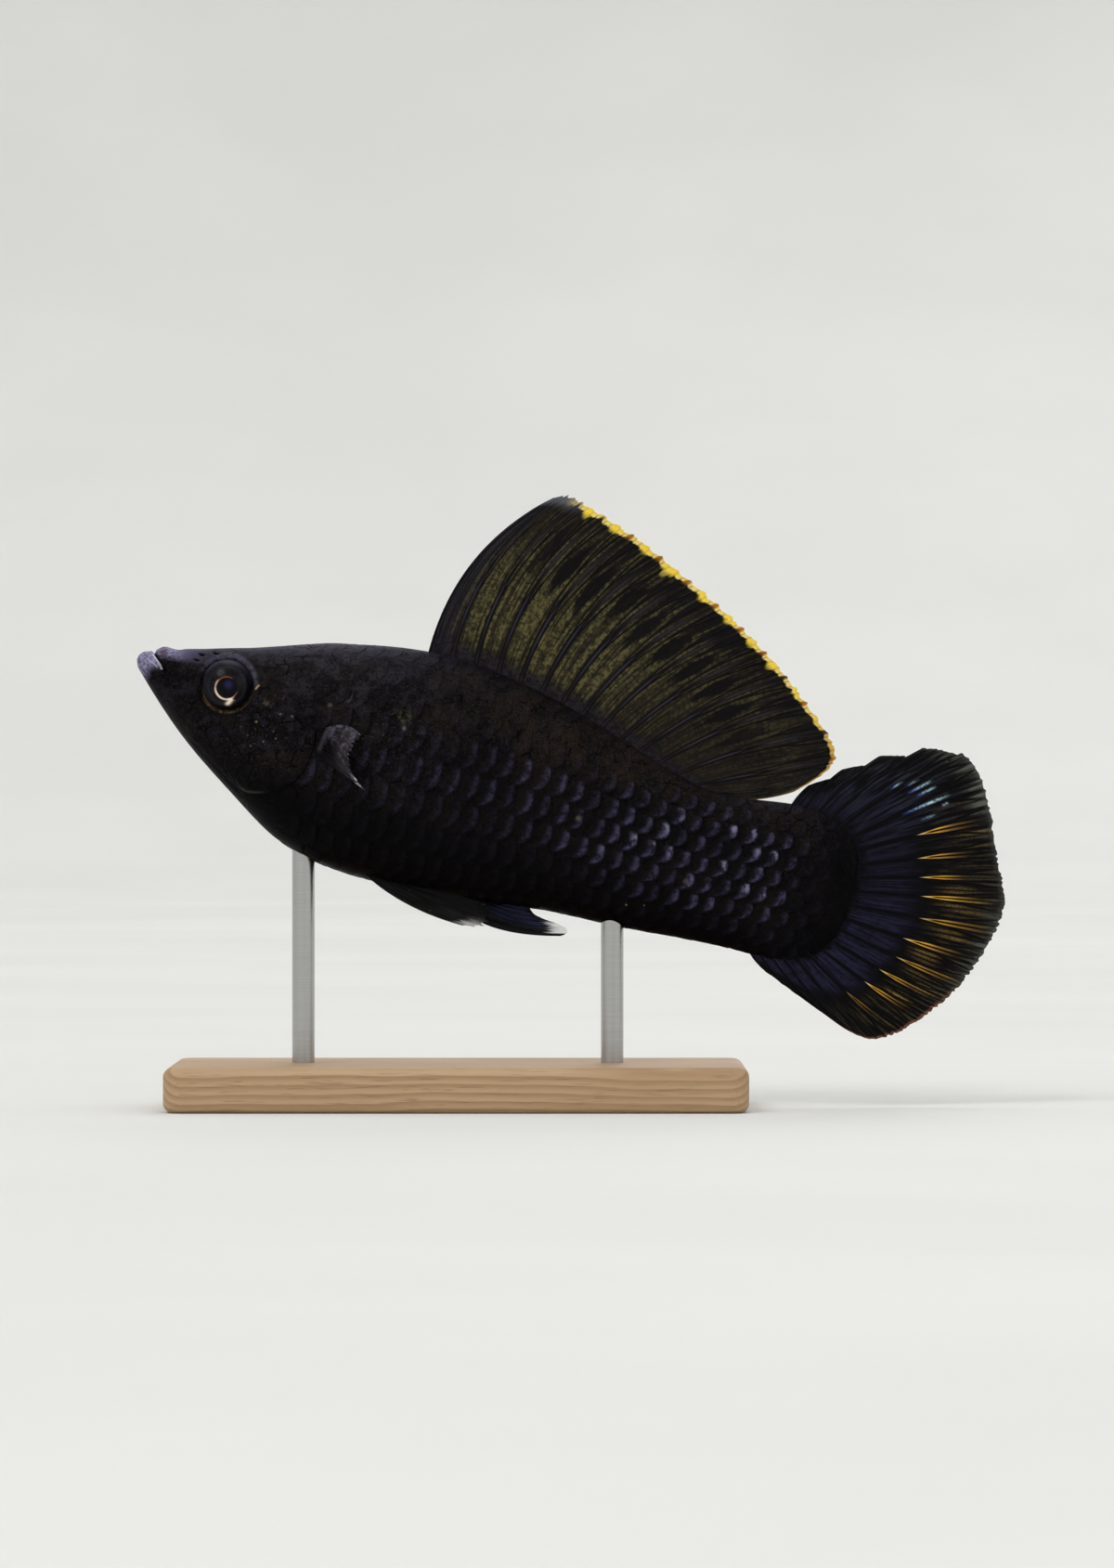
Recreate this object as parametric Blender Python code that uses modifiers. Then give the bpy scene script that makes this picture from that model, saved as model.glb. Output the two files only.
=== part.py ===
"""Black sailfin molly, an adult male, as a life-size still model on a display stand.

Lengths are in metres. The fish is built in its own frame and then pitched into its pose: there X
runs from the tip of the lower jaw to the tail, Y to the fish's right and Z up. The world frame has
its origin under the middle of the whole model, on the surface that the stand rests on.
"""

import math

import bmesh
import bpy
import numpy as np
from mathutils import Matrix, Vector

MM = 0.001
GAP = 0.3 * MM

PITCH = math.radians(17.0)
TAIL_CLEARANCE = 7.5 * MM
TAIL_SWAY = 3.0 * MM
SWAY_START = 45.0 * MM
SWAY_END = 100.0 * MM

# The body at stations along its length: distance from the jaw tip, heights of the back and of the
# belly, half width, height of the widest point, and squareness of the upper and the lower half.
STATIONS = np.array([
    (0.0, 1.10, -0.30, 1.45, 0.40, 2.3, 2.1),
    (2.7, 2.25, -2.75, 2.55, -0.10, 2.6, 2.1),
    (7.7, 3.85, -6.75, 4.10, -1.10, 2.7, 2.0),
    (14.5, 6.25, -11.00, 5.60, -2.00, 2.4, 2.0),
    (20.7, 8.55, -14.35, 6.50, -2.50, 2.1, 2.1),
    (27.2, 10.25, -15.75, 6.90, -2.60, 1.9, 2.2),
    (34.5, 11.00, -15.60, 6.75, -2.40, 1.8, 2.2),
    (42.4, 10.35, -14.85, 6.00, -2.30, 1.8, 2.1),
    (50.4, 8.75, -13.40, 5.00, -2.40, 1.8, 2.0),
    (58.2, 6.60, -12.75, 3.95, -2.80, 1.9, 2.0),
    (66.0, 5.20, -11.90, 3.00, -3.00, 2.0, 2.0),
    (73.7, 6.35, -11.30, 2.15, -2.50, 2.0, 2.0),
    (84.0, 6.60, -11.80, 0.60, -2.40, 2.2, 2.2),
])
JAW_TIP = -0.08 * MM
NOSE_LENGTH = 0.9 * MM
TAIL_END_START = 73.8 * MM
TAIL_END_LENGTH = 9.8 * MM
TAIL_BLUNT_END = 83.45 * MM
HEAD_END = 20.2 * MM
TRUNK_END = 68.0 * MM

EYE_CENTRE = (10.5 * MM, 0.4 * MM)
EYE_RADIUS = 2.95 * MM
EYE_DEPTH = 1.9 * MM
EYE_SUNK = 1.1 * MM
NOSTRIL_RADIUS = 0.4 * MM
NOSTRILS = ((6.5 * MM, 2.3 * MM), (8.3 * MM, 3.25 * MM))

MOUTH_FRONT = np.array((1.50, 1.50)) * MM
MOUTH_CORNER = np.array((3.15, -0.10)) * MM
JAW_HINGE = np.array((4.30, -5.20)) * MM
LIP_HEIGHT = 0.26 * MM
LIP_OFFSET = 0.55 * MM
LIP_WIDTH = 0.32 * MM
ORBIT_HEIGHT = 0.25 * MM
ORBIT_WIDTH = 0.7 * MM

COVER_CENTRE = (17.2 * MM, -4.0 * MM)
COVER_ANGLES = (0, 45, 90, 135, 180, 225, 250, 270, 315, 360)
COVER_RADII = (4.5, 5.0, 4.4, 3.9, 3.7, 5.3, 6.4, 6.0, 5.1, 4.5)
COVER_THICKNESS = 0.5 * MM
COVER_RISE = 0.22 * MM

MEMBRANE = 0.25 * MM
RAY_RIDGE = 0.2 * MM
EDGE = 0.13 * MM
ROOT_THICKNESS = 0.38 * MM

PECTORAL_ROOT = ((23.2, -0.9), (22.9, -3.9))
PELVIC_ROOT = (31.0 * MM, 33.4 * MM)
PELVIC_OFFSET = 1.9 * MM
GONOPODIUM_ROOT = (40.9 * MM, 45.6 * MM)

BASE_LENGTH = 64.0 * MM
BASE_WIDTH = 34.0 * MM
BASE_THICKNESS = 5.0 * MM
BASE_ROUNDING = 1.2 * MM
ROD_RADIUS = 1.25 * MM
ROD_STATIONS = (24.0 * MM, 59.0 * MM)


def spline(knots, values):
    """A natural cubic spline through values at the knots, as a function that takes arrays."""
    x = np.asarray(knots, float)
    y = np.asarray(values, float).reshape(len(x), -1)
    step = np.diff(x)
    slope = np.diff(y, axis=0) / step[:, None]
    system = np.eye(len(x))
    right = np.zeros_like(y)
    for i in range(1, len(x) - 1):
        system[i, i - 1:i + 2] = step[i - 1], 2 * (step[i - 1] + step[i]), step[i]
        right[i] = 6 * (slope[i] - slope[i - 1])
    bend = np.linalg.solve(system, right)

    def curve(at):
        at = np.clip(np.asarray(at, float), x[0], x[-1])
        i = np.clip(np.searchsorted(x, at) - 1, 0, len(x) - 2)
        h = step[i][..., None]
        b = (at - x[i])[..., None] / h
        a = 1 - b
        found = a * y[i] + b * y[i + 1]
        return found + ((a**3 - a) * bend[i] + (b**3 - b) * bend[i + 1]) * h * h / 6

    return curve


STATION_SCALE = np.array((MM, MM, MM, MM, MM, 1.0, 1.0))
body_curve = spline(STATIONS[:, 0] * MM, (STATIONS * STATION_SCALE)[:, 1:])


def sway(s):
    """How far the spine swings to the fish's right, which grows towards the tail."""
    return TAIL_SWAY * (np.clip(s - SWAY_START, 0, None) / (SWAY_END - SWAY_START)) ** 2


def section(s):
    """Back, belly, half width, widest height and the two squarenesses at s, with both ends rounded."""
    back, belly, half, widest, upper, lower = np.moveaxis(body_curve(s), -1, 0)
    nose = np.clip((s - JAW_TIP) / NOSE_LENGTH, 0, 1)
    round_nose = np.sqrt(1 - (1 - nose) ** 2)
    tail = np.clip((s - TAIL_END_START) / TAIL_END_LENGTH, 0, 1)
    round_back = round_nose * (1 - tail**3) ** (1 / 3)
    round_belly = round_nose * (1 - tail**2.6) ** (1 / 2.6)
    return (
        widest + (back - widest) * round_back,
        widest - (widest - belly) * round_belly,
        half * round_nose,
        widest,
        upper,
        lower,
    )


def flank(s, h):
    """Half width of the body at station s and height h."""
    back, belly, half, widest, upper, lower = section(s)
    above = h >= widest
    reach = np.where(above, back - widest, widest - belly)
    power = np.where(above, upper, lower)
    share = np.clip(np.abs(h - widest) / reach, 0, 1)
    return half * (1 - share**power) ** (1 / power)


def plain_skin(s, a):
    """Points of the body at stations s and angles a, from the right flank up and over the back."""
    back, belly, half, widest, upper, lower = section(s)
    across, up = np.cos(a), np.sin(a)
    power = 2 / np.where(up >= 0, upper, lower)
    reach = np.where(up >= 0, back - widest, widest - belly)
    y = half * np.sign(across) * np.abs(across) ** power
    h = widest + reach * np.sign(up) * np.abs(up) ** power
    return np.stack(np.broadcast_arrays(s, y + sway(s), h), axis=-1)


def normals_of(grid):
    """Unit normals of a grid of points, from its differences along both directions."""
    n = np.cross(np.gradient(grid, axis=0), np.gradient(grid, axis=1))
    return n / np.maximum(np.linalg.norm(n, axis=-1, keepdims=True), 1e-12)


def lips(s, h):
    """Two rolls beside the mouth line, which fade out behind its corner."""
    line = MOUTH_CORNER - MOUTH_FRONT
    length = np.linalg.norm(line)
    along = ((s - MOUTH_FRONT[0]) * line[0] + (h - MOUTH_FRONT[1]) * line[1]) / length
    away = ((s - MOUTH_FRONT[0]) * -line[1] + (h - MOUTH_FRONT[1]) * line[0]) / length
    roll = np.exp(-(((np.abs(away) - LIP_OFFSET) / LIP_WIDTH) ** 2))
    return LIP_HEIGHT * roll / (1 + np.exp((along - 1.15 * length) / (0.15 * MM)))


def orbit(s, h):
    """The swelling round the eye."""
    away = np.hypot(s - EYE_CENTRE[0], h - EYE_CENTRE[1]) - EYE_RADIUS - 0.3 * MM
    return ORBIT_HEIGHT * np.exp(-((away / ORBIT_WIDTH) ** 2))


def skin(stations, columns):
    """A grid of the body's skin, with the lips and the rims of the eyes raised."""
    s, a = np.meshgrid(stations, np.linspace(0, 2 * math.pi, columns + 1), indexing="ij")
    grid = plain_skin(s, a)
    outward = -normals_of(grid)
    outward[:, -1] = outward[:, 0]
    raised = lips(grid[..., 0], grid[..., 2]) + orbit(grid[..., 0], grid[..., 2])
    grid = grid + outward * raised[..., None]
    return grid[:, :-1]


def make_material(name, colour, roughness, metallic=0.0):
    material = bpy.data.materials.new(name)
    material.use_nodes = True
    shader = material.node_tree.nodes["Principled BSDF"]
    shader.inputs["Base Color"].default_value = (*colour, 1.0)
    shader.inputs["Roughness"].default_value = roughness
    shader.inputs["Metallic"].default_value = metallic
    material.diffuse_color = (*colour, 1.0)
    return material


def add_object(name, points, faces, collection, parent=None, material=None, smooth=True):
    """A mesh object from points and faces, with its faces turned outwards."""
    mesh = bpy.data.meshes.new(name)
    mesh.from_pydata([tuple(p) for p in points], [], faces)
    shell = bmesh.new()
    shell.from_mesh(mesh)
    bmesh.ops.recalc_face_normals(shell, faces=shell.faces)
    shell.to_mesh(mesh)
    shell.free()
    if smooth:
        mesh.shade_smooth()
        mesh.set_sharp_from_angle(angle=math.radians(40))
    if material:
        mesh.materials.append(material)
    obj = bpy.data.objects.new(name, mesh)
    collection.objects.link(obj)
    obj.parent = parent
    return obj


def tube_faces(rings, columns):
    """Quads round a stack of rings, and a fan to a pole at each end; the poles are the last two points."""
    faces = []
    for i in range(rings - 1):
        for j in range(columns):
            k = (j + 1) % columns
            faces.append((i * columns + j, i * columns + k, (i + 1) * columns + k, (i + 1) * columns + j))
    first_pole = rings * columns
    last_ring = (rings - 1) * columns
    for j in range(columns):
        k = (j + 1) % columns
        faces.append((first_pole, k, j))
        faces.append((first_pole + 1, last_ring + j, last_ring + k))
    return faces


def closed_loft(name, grid, **options):
    """A closed body through rings of points, closed by a fan at each end."""
    rings, columns = grid.shape[:2]
    poles = [grid[0].mean(axis=0), grid[-1].mean(axis=0)]
    points = np.concatenate([grid.reshape(-1, 3), poles])
    return add_object(name, points, tube_faces(rings, columns), **options)


def plate(name, middle, near, far, **options):
    """A closed plate round a grid of points, near and far thick on its two sides.

    Both faces are split into the same triangles, so that a thin curved plate never crosses itself.
    """
    rows, columns = middle.shape[:2]
    normal = normals_of(middle)
    points = np.concatenate([
        (middle + normal * near[..., None]).reshape(-1, 3),
        (middle - normal * far[..., None]).reshape(-1, 3),
    ])
    other = rows * columns
    faces = []
    for i in range(rows - 1):
        for j in range(columns - 1):
            a, b = i * columns + j, (i + 1) * columns + j
            c, d = b + 1, a + 1
            faces += [(a, b, c), (a, c, d), (other + a, other + c, other + b), (other + a, other + d, other + c)]
    rim = [j for j in range(columns)]
    rim += [i * columns + columns - 1 for i in range(1, rows)]
    rim += [(rows - 1) * columns + j for j in range(columns - 2, -1, -1)]
    rim += [i * columns for i in range(rows - 2, 0, -1)]
    for a, b in zip(rim, rim[1:] + rim[:1]):
        faces += [(a, b, other + b), (a, other + b, other + a)]
    return add_object(name, points, faces, **options)


def disc_plate(name, outline, centre, side, rise, depth, rings, columns, **options):
    """A closed plate on the flank with an outline given as radius at each angle round the centre."""
    angle = np.linspace(0, 2 * math.pi, columns, endpoint=False)
    share = np.linspace(0, 1, rings + 1)[1:]
    radius = outline(angle)
    s = centre[0] + share[:, None] * radius * np.cos(angle)
    h = centre[1] + share[:, None] * radius * np.sin(angle)
    flat = np.stack([s, side * flank(s, h), h], axis=-1)
    step = 0.05 * MM
    along = np.stack([np.full_like(s, 2 * step), side * (flank(s + step, h) - flank(s - step, h)), 0 * s], axis=-1)
    up = np.stack([0 * s, side * (flank(s, h + step) - flank(s, h - step)), np.full_like(s, 2 * step)], axis=-1)
    out = np.cross(along, up)
    out *= -side / np.linalg.norm(out, axis=-1, keepdims=True)
    middle = np.array([centre[0], side * float(flank(np.array(centre[0]), np.array(centre[1]))), centre[1]])
    across = np.array([0.0, side, 0.0])
    outer = flat + out * rise(share)[:, None, None]
    inner = flat - out * depth
    points = np.concatenate([
        outer.reshape(-1, 3),
        inner.reshape(-1, 3),
        [middle + across * rise(np.zeros(1))[0], middle - across * depth],
    ])
    other = rings * columns
    faces = []
    for i in range(rings - 1):
        for j in range(columns):
            k = (j + 1) % columns
            a, b, c, d = i * columns + j, (i + 1) * columns + j, (i + 1) * columns + k, i * columns + k
            faces += [(a, b, c), (a, c, d), (other + a, other + c, other + b), (other + a, other + d, other + c)]
    edge = (rings - 1) * columns
    for j in range(columns):
        k = (j + 1) % columns
        faces += [(2 * other, j, k), (2 * other + 1, other + k, other + j)]
        faces += [(edge + j, edge + k, other + edge + k), (edge + j, other + edge + k, other + edge + j)]
    return add_object(name, points, faces, **options)


def prism(name, outline, half_width, **options):
    """A straight prism across the fish, from an outline in its side view."""
    mesh = bmesh.new()
    corners = [mesh.verts.new((s, -half_width, h)) for s, h in outline]
    face = mesh.faces.new(corners)
    moved = bmesh.ops.extrude_face_region(mesh, geom=[face])["geom"]
    bmesh.ops.translate(
        mesh,
        vec=(0, 2 * half_width, 0),
        verts=[part for part in moved if isinstance(part, bmesh.types.BMVert)],
    )
    mesh.verts.index_update()
    points = [tuple(v.co) for v in mesh.verts]
    faces = [tuple(v.index for v in f.verts) for f in mesh.faces]
    mesh.free()
    return add_object(name, points, faces, smooth=False, **options)


def ellipsoid(name, centre, radii, segments, rings, **options):
    """A stretched ball with its poles across the fish."""
    mesh = bmesh.new()
    bmesh.ops.create_uvsphere(mesh, u_segments=segments, v_segments=rings, radius=1.0)
    turn = Matrix.Translation(centre) @ Matrix.Diagonal((*radii, 1.0)) @ Matrix.Rotation(math.pi / 2, 4, "X")
    bmesh.ops.transform(mesh, matrix=turn, verts=mesh.verts)
    mesh.verts.index_update()
    points = [tuple(v.co) for v in mesh.verts]
    faces = [tuple(v.index for v in f.verts) for f in mesh.faces]
    mesh.free()
    return add_object(name, points, faces, **options)


def as_cutter(obj):
    obj.hide_render = True
    obj.display_type = "WIRE"
    return obj


def boolean(obj, other, operation):
    modifier = obj.modifiers.new(operation.lower(), "BOOLEAN")
    modifier.operation = operation
    modifier.solver = "EXACT"
    modifier.object = other


def ray_columns(rays, fork_start, spread, rows):
    """Where a forked fin's columns run, in ray spacings, and how high each stands, at each row.

    Each ray has two crests with a furrow between them. They start as one crest and part at
    fork_start. The membrane lies halfway between two rays.
    """
    opened = np.clip((rows - fork_start) / (1 - fork_start), 0, 1)
    apart = 0.07 + (spread - 0.07) * opened
    furrow = 1 - 0.85 * opened
    place, height = [], []
    for ray in range(rays):
        if ray > 0:
            place += [np.full_like(rows, ray - 0.5), ray - apart]
            height += [np.zeros_like(rows), np.ones_like(rows)]
        place.append(np.full_like(rows, ray))
        height.append(furrow)
        if ray < rays - 1:
            place.append(ray + apart)
            height.append(np.ones_like(rows))
    return np.stack(place, axis=1), np.stack(height, axis=1)


def single_columns(rays, rows):
    """Columns of a small fin, whose rays don't fork: a crest on each ray and membrane between."""
    place = np.linspace(0, rays - 1, 2 * rays - 1)
    height = 1.0 * (np.arange(2 * rays - 1) % 2 == 0)
    return np.tile(place, (len(rows), 1)), np.tile(height, (len(rows), 1))


def rayed_fin(name, rays, path, rows, fork=None, scallop=0.02, stout=None, **options):
    """A fin as one closed plate, with its rays raised on both faces.

    path takes a ray's number and the share of the way to its tip, and gives the middle plane.
    """
    share = np.linspace(0, 1, rows) ** 0.9
    place, height = ray_columns(rays, *fork, share) if fork else single_columns(rays, share)
    between = np.abs(place - np.round(place))
    reach = share[:, None] * (1 - scallop * (2 * between) ** 2)
    middle = path(place, reach)
    thick = MEMBRANE + (ROOT_THICKNESS - MEMBRANE) * np.exp(-share[:, None] / 0.06)
    thick = thick + RAY_RIDGE * height * (1 - 0.6 * share[:, None])
    if stout:
        thick = thick + stout(place) * (1 - 0.5 * share[:, None])
    thin = np.clip((1 - share[:, None]) / 0.06, 0, 1)
    thick = EDGE + (thick - EDGE) * thin
    return plate(name, middle, thick, thick, **options)


def key_points(rows):
    """Points from a few key rays, each given as its number and its coordinates in mm."""
    table = np.array(rows, float)
    return spline(table[:, 0], table[:, 1:] * MM)


def flat(curve):
    """Points of the middle plane from a curve that gives distance along the body and height."""

    def point(number):
        s, h = np.moveaxis(curve(number), -1, 0)
        return np.stack([s, 0 * s, h], axis=-1)

    return point


def bowed(foot, tip, bow, lean):
    """A path of rays in the middle plane, each bowed forwards by a share of its length.

    lean gives how far a ray swings out of that plane, on top of the sway of the spine.
    """

    def path(number, reach):
        start, end = foot(number), tip(number)
        chord = end - start
        forwards = np.stack([-chord[..., 2], 0 * chord[..., 1], chord[..., 0]], axis=-1)
        curve = 4 * reach * (1 - reach) * bow(number)
        points = start + chord * reach[..., None] + forwards * curve[..., None]
        points[..., 1] += sway(points[..., 0]) + lean(number, reach)
        return points

    return path


def bent(foot, knee, tip):
    """A path of rays that each bend once, over a knee."""

    def path(number, reach):
        r = reach[..., None]
        return (1 - r) ** 2 * foot(number) + 2 * r * (1 - r) * knee(number) + r**2 * tip(number)

    return path


def belly_point(s, y):
    """The point of the belly under station s, at a distance y from the middle."""
    back, belly, half, widest, upper, lower = section(s)
    drop = (1 - (np.abs(y) / half) ** lower) ** (1 / lower)
    return np.stack(np.broadcast_arrays(s, y + sway(s), widest - (widest - belly) * drop), axis=-1)


def build_body(fish, parts, cutters, flesh):
    made = dict(collection=parts, parent=fish, material=flesh)
    head_share = np.linspace(0.03, 1, 30) ** 1.5
    head_grid = skin(JAW_TIP + (HEAD_END - JAW_TIP) * head_share, 36)
    head = closed_loft("head", head_grid, **made)
    jaw = closed_loft("lower_jaw", head_grid, **made)
    trunk = closed_loft("trunk", skin(np.linspace(HEAD_END + GAP, TRUNK_END, 24), 32), **made)
    tail_share = np.linspace(0, 1, 14) ** 0.8
    tail_length = TAIL_BLUNT_END - TRUNK_END - GAP
    closed_loft("tail_stalk", skin(TRUNK_END + GAP + tail_length * tail_share, 32), **made)

    front = -3.0 * MM
    above_mouth = MOUTH_FRONT + (MOUTH_FRONT - MOUTH_CORNER) * 1.1
    outline = [
        (front, JAW_HINGE[1]),
        tuple(JAW_HINGE),
        tuple(MOUTH_CORNER),
        tuple(MOUTH_FRONT),
        tuple(above_mouth),
        (front, above_mouth[1]),
    ]
    room = [(s + 0.22 * MM, h + 0.22 * MM) for s, h in outline[1:5]]
    room = [(front, -9 * MM), (room[0][0], -9 * MM)] + room + [(front, room[-1][1])]
    jaw_shape = as_cutter(prism("jaw_shape", outline, 6 * MM, collection=cutters, parent=fish))
    jaw_room = as_cutter(prism("jaw_room", room, 6 * MM, collection=cutters, parent=fish))
    boolean(jaw, jaw_shape, "INTERSECT")
    boolean(head, jaw_room, "DIFFERENCE")
    return head, trunk


def build_eyes(fish, parts, cutters, head, material):
    s, h = EYE_CENTRE
    middle = float(flank(np.array(s), np.array(h))) - EYE_SUNK
    ball = (EYE_RADIUS, EYE_DEPTH, EYE_RADIUS)
    room = tuple(radius + GAP for radius in ball)
    pit = (NOSTRIL_RADIUS * 1.3, NOSTRIL_RADIUS, NOSTRIL_RADIUS)
    for side, word in ((-1, "left"), (1, "right")):
        centre = (s, side * middle, h)
        ellipsoid("eye_" + word, centre, ball, 20, 12, collection=parts, parent=fish, material=material)
        hollows = [ellipsoid("socket_" + word, centre, room, 24, 14, collection=cutters, parent=fish)]
        for number, (ns, nh) in enumerate(NOSTRILS):
            place = (ns, side * float(flank(np.array(ns), np.array(nh))), nh)
            name = f"nostril_{word}_{number}"
            hollows.append(ellipsoid(name, place, pit, 10, 8, collection=cutters, parent=fish))
        for hollow in hollows:
            boolean(head, as_cutter(hollow), "DIFFERENCE")


def build_gill_covers(fish, parts, cutters, head, trunk, material):
    radii = spline(np.radians(COVER_ANGLES), np.array(COVER_RADII) * MM)

    def outline(angle):
        return radii(angle)[..., 0]

    def grown(angle):
        return outline(angle) + GAP

    def rise(share):
        return COVER_RISE * (1 - 0.4 * share**2)

    def clear(share):
        return np.full_like(share, 2 * MM)

    for side, word in ((-1, "left"), (1, "right")):
        disc_plate(
            "gill_cover_" + word, outline, COVER_CENTRE, side, rise, COVER_THICKNESS, 4, 32,
            collection=parts, parent=fish, material=material,
        )
        recess = disc_plate(
            "recess_" + word, grown, COVER_CENTRE, side, clear, COVER_THICKNESS + GAP, 4, 32,
            collection=cutters, parent=fish,
        )
        as_cutter(recess)
        boolean(head, recess, "DIFFERENCE")
        boolean(trunk, recess, "DIFFERENCE")


def build_dorsal_fin(**made):
    last = 15
    front, rear = 30.6 * MM, 67.6 * MM
    tip = flat(key_points([
        (0, 39.0, 31.0),
        (1, 40.3, 31.7),
        (2, 41.8, 31.6),
        (4, 47.2, 29.7),
        (8, 61.5, 23.6),
        (12, 74.6, 15.8),
        (13, 77.2, 13.0),
        (14, 76.4, 10.3),
        (15, 74.3, 8.0),
    ]))

    def foot(number):
        s = front + (rear - front) * number / last
        return np.stack([s, 0 * s, section(s)[0] + GAP], axis=-1)

    def bow(number):
        return 0.115 * (1 - number / last) ** 0.7

    def lean(number, reach):
        return -1.0 * MM * (number / last) ** 3 * reach**2 + 0.3 * MM * np.sin(number * 1.25) * reach**1.5

    rayed_fin("dorsal_fin", last + 1, bowed(foot, tip, bow, lean), 10, fork=(0.55, 0.24), **made)


def tail_outline():
    """The rounded end of the tail stalk in side view, from its upper to its lower corner, a gap outside it."""
    s = TAIL_END_START + (TAIL_BLUNT_END - TAIL_END_START) * np.sin(np.linspace(0, math.pi / 2, 60))
    back, belly = section(s)[:2]
    line = np.concatenate([np.stack([s, back], axis=-1), np.stack([s, belly], axis=-1)[::-1]])
    tangent = np.gradient(line, axis=0)
    tangent /= np.linalg.norm(tangent, axis=-1, keepdims=True)
    line = line + GAP * np.stack([-tangent[:, 1], tangent[:, 0]], axis=-1)
    length = np.concatenate([[0], np.cumsum(np.linalg.norm(np.diff(line, axis=0), axis=-1))])
    return line, length / length[-1]


def build_caudal_fin(**made):
    last = 20
    tip = flat(key_points([
        (0, 75.3, 8.7),
        (2, 81.3, 13.5),
        (3.5, 87.6, 16.7),
        (5.1, 93.4, 14.6),
        (7.6, 98.0, 6.9),
        (9.6, 100.2, 1.8),
        (11.5, 98.7, -5.0),
        (14.6, 94.1, -12.9),
        (16, 90.8, -16.1),
        (17.7, 85.2, -15.4),
        (20, 76.6, -12.3),
    ]))
    line, share = tail_outline()

    def foot(number):
        at = number / last
        s = np.interp(at, share, line[:, 0])
        return np.stack([s, 0 * s, np.interp(at, share, line[:, 1])], axis=-1)

    def bow(number):
        return 0.05 * (1 - 2 * number / last)

    def lean(number, reach):
        return 0.35 * MM * np.sin(number * 1.0) * reach**1.5

    rayed_fin("caudal_fin", last + 1, bowed(foot, tip, bow, lean), 8, fork=(0.4, 0.26), **made)


def build_pectoral_fin(name, side, **made):
    last = 8
    root_s, root_h = np.transpose(PECTORAL_ROOT) * MM
    knee = key_points([(0, 24.9, 11.5, 0.7), (4, 24.2, 10.6, -1.7), (8, 24.7, 8.6, -4.2)])
    tip = key_points([(0, 26.3, 15.6, -0.7), (4, 25.5, 14.4, -3.1), (8, 27.5, 10.2, -6.1)])

    def foot(number):
        s = root_s[0] + (root_s[1] - root_s[0]) * number / last
        h = root_h[0] + (root_h[1] - root_h[0]) * number / last
        return np.stack([s, flank(s, h) + 1.6 * GAP, h], axis=-1)

    path = bent(foot, knee, tip)

    def sided(number, reach):
        return path(number, reach) * (1, side, 1)

    rayed_fin(name, last + 1, sided, 8, scallop=0.04, **made)


def build_pelvic_fin(name, side, **made):
    last = 4
    tip = key_points([(0, 43.4, 2.3, -17.4), (2, 45.5, 2.6, -16.9), (4, 44.6, 2.6, -15.25)])
    knee = key_points([(0, 36.5, 2.2, -17.2), (4, 38.6, 2.3, -15.3)])

    def foot(number):
        s = PELVIC_ROOT[0] + (PELVIC_ROOT[1] - PELVIC_ROOT[0]) * number / last
        point = belly_point(s, np.full_like(s, PELVIC_OFFSET))
        point[..., 2] -= 1.3 * GAP
        return point

    path = bent(foot, knee, tip)

    def sided(number, reach):
        return path(number, reach) * (1, side, 1)

    rayed_fin(name, last + 1, sided, 8, scallop=0.04, **made)


def build_gonopodium(**made):
    last = 6
    tip = key_points([
        (0, 54.0, 0.0, -15.3),
        (1, 54.5, 0.0, -14.8),
        (2, 54.2, 0.0, -14.3),
        (4, 51.2, 0.0, -14.25),
        (6, 49.3, 0.0, -13.95),
    ])
    knee = key_points([(0, 47.4, 0.0, -17.75), (2, 48.3, 0.0, -16.4), (6, 47.6, 0.0, -14.35)])

    def foot(number):
        s = GONOPODIUM_ROOT[0] + (GONOPODIUM_ROOT[1] - GONOPODIUM_ROOT[0]) * number / last
        point = belly_point(s, np.zeros_like(s))
        point[..., 2] -= GAP
        return point

    def stout(number):
        return 0.3 * MM * np.exp(-((number / 1.5) ** 2))

    rayed_fin("gonopodium", last + 1, bent(foot, knee, tip), 9, scallop=0.01, stout=stout, **made)


def place_fish(fish, parts):
    """Moves the fish so that its middle lies over the origin and its tail hangs clear of the floor."""
    bpy.context.view_layer.update()
    points = [obj.matrix_world @ v.co for obj in parts.objects if obj.parent is fish for v in obj.data.vertices]
    low, high = min(p.x for p in points), max(p.x for p in points)
    fish.location = (-(low + high) / 2, 0, TAIL_CLEARANCE - min(p.z for p in points))
    bpy.context.view_layer.update()


def build_rod(name, station, fish, parts, material):
    """A rod from the base up to the belly, whose top follows the belly a gap below it."""
    foot = fish.matrix_world @ Vector(belly_point(np.array(station), np.array(0.0)))
    mesh = bmesh.new()
    bmesh.ops.create_cone(
        mesh, cap_ends=True, cap_tris=True, segments=20, radius1=ROD_RADIUS, radius2=ROD_RADIUS, depth=2 * MM
    )
    for vertex in mesh.verts:
        if vertex.co.z < 0:
            vertex.co.z = BASE_THICKNESS + GAP
            continue
        s = station + vertex.co.x / math.cos(PITCH)
        for _ in range(6):
            point = fish.matrix_world @ Vector(belly_point(np.array(s), np.array(vertex.co.y)))
            s += (foot.x + vertex.co.x - point.x) / math.cos(PITCH)
        vertex.co.z = point.z - 1.2 * GAP
    shape = bpy.data.meshes.new(name)
    mesh.to_mesh(shape)
    mesh.free()
    shape.shade_smooth()
    shape.set_sharp_from_angle(angle=math.radians(40))
    shape.materials.append(material)
    rod = bpy.data.objects.new(name, shape)
    rod.location = (foot.x, 0, 0)
    parts.objects.link(rod)
    return foot.x


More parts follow.
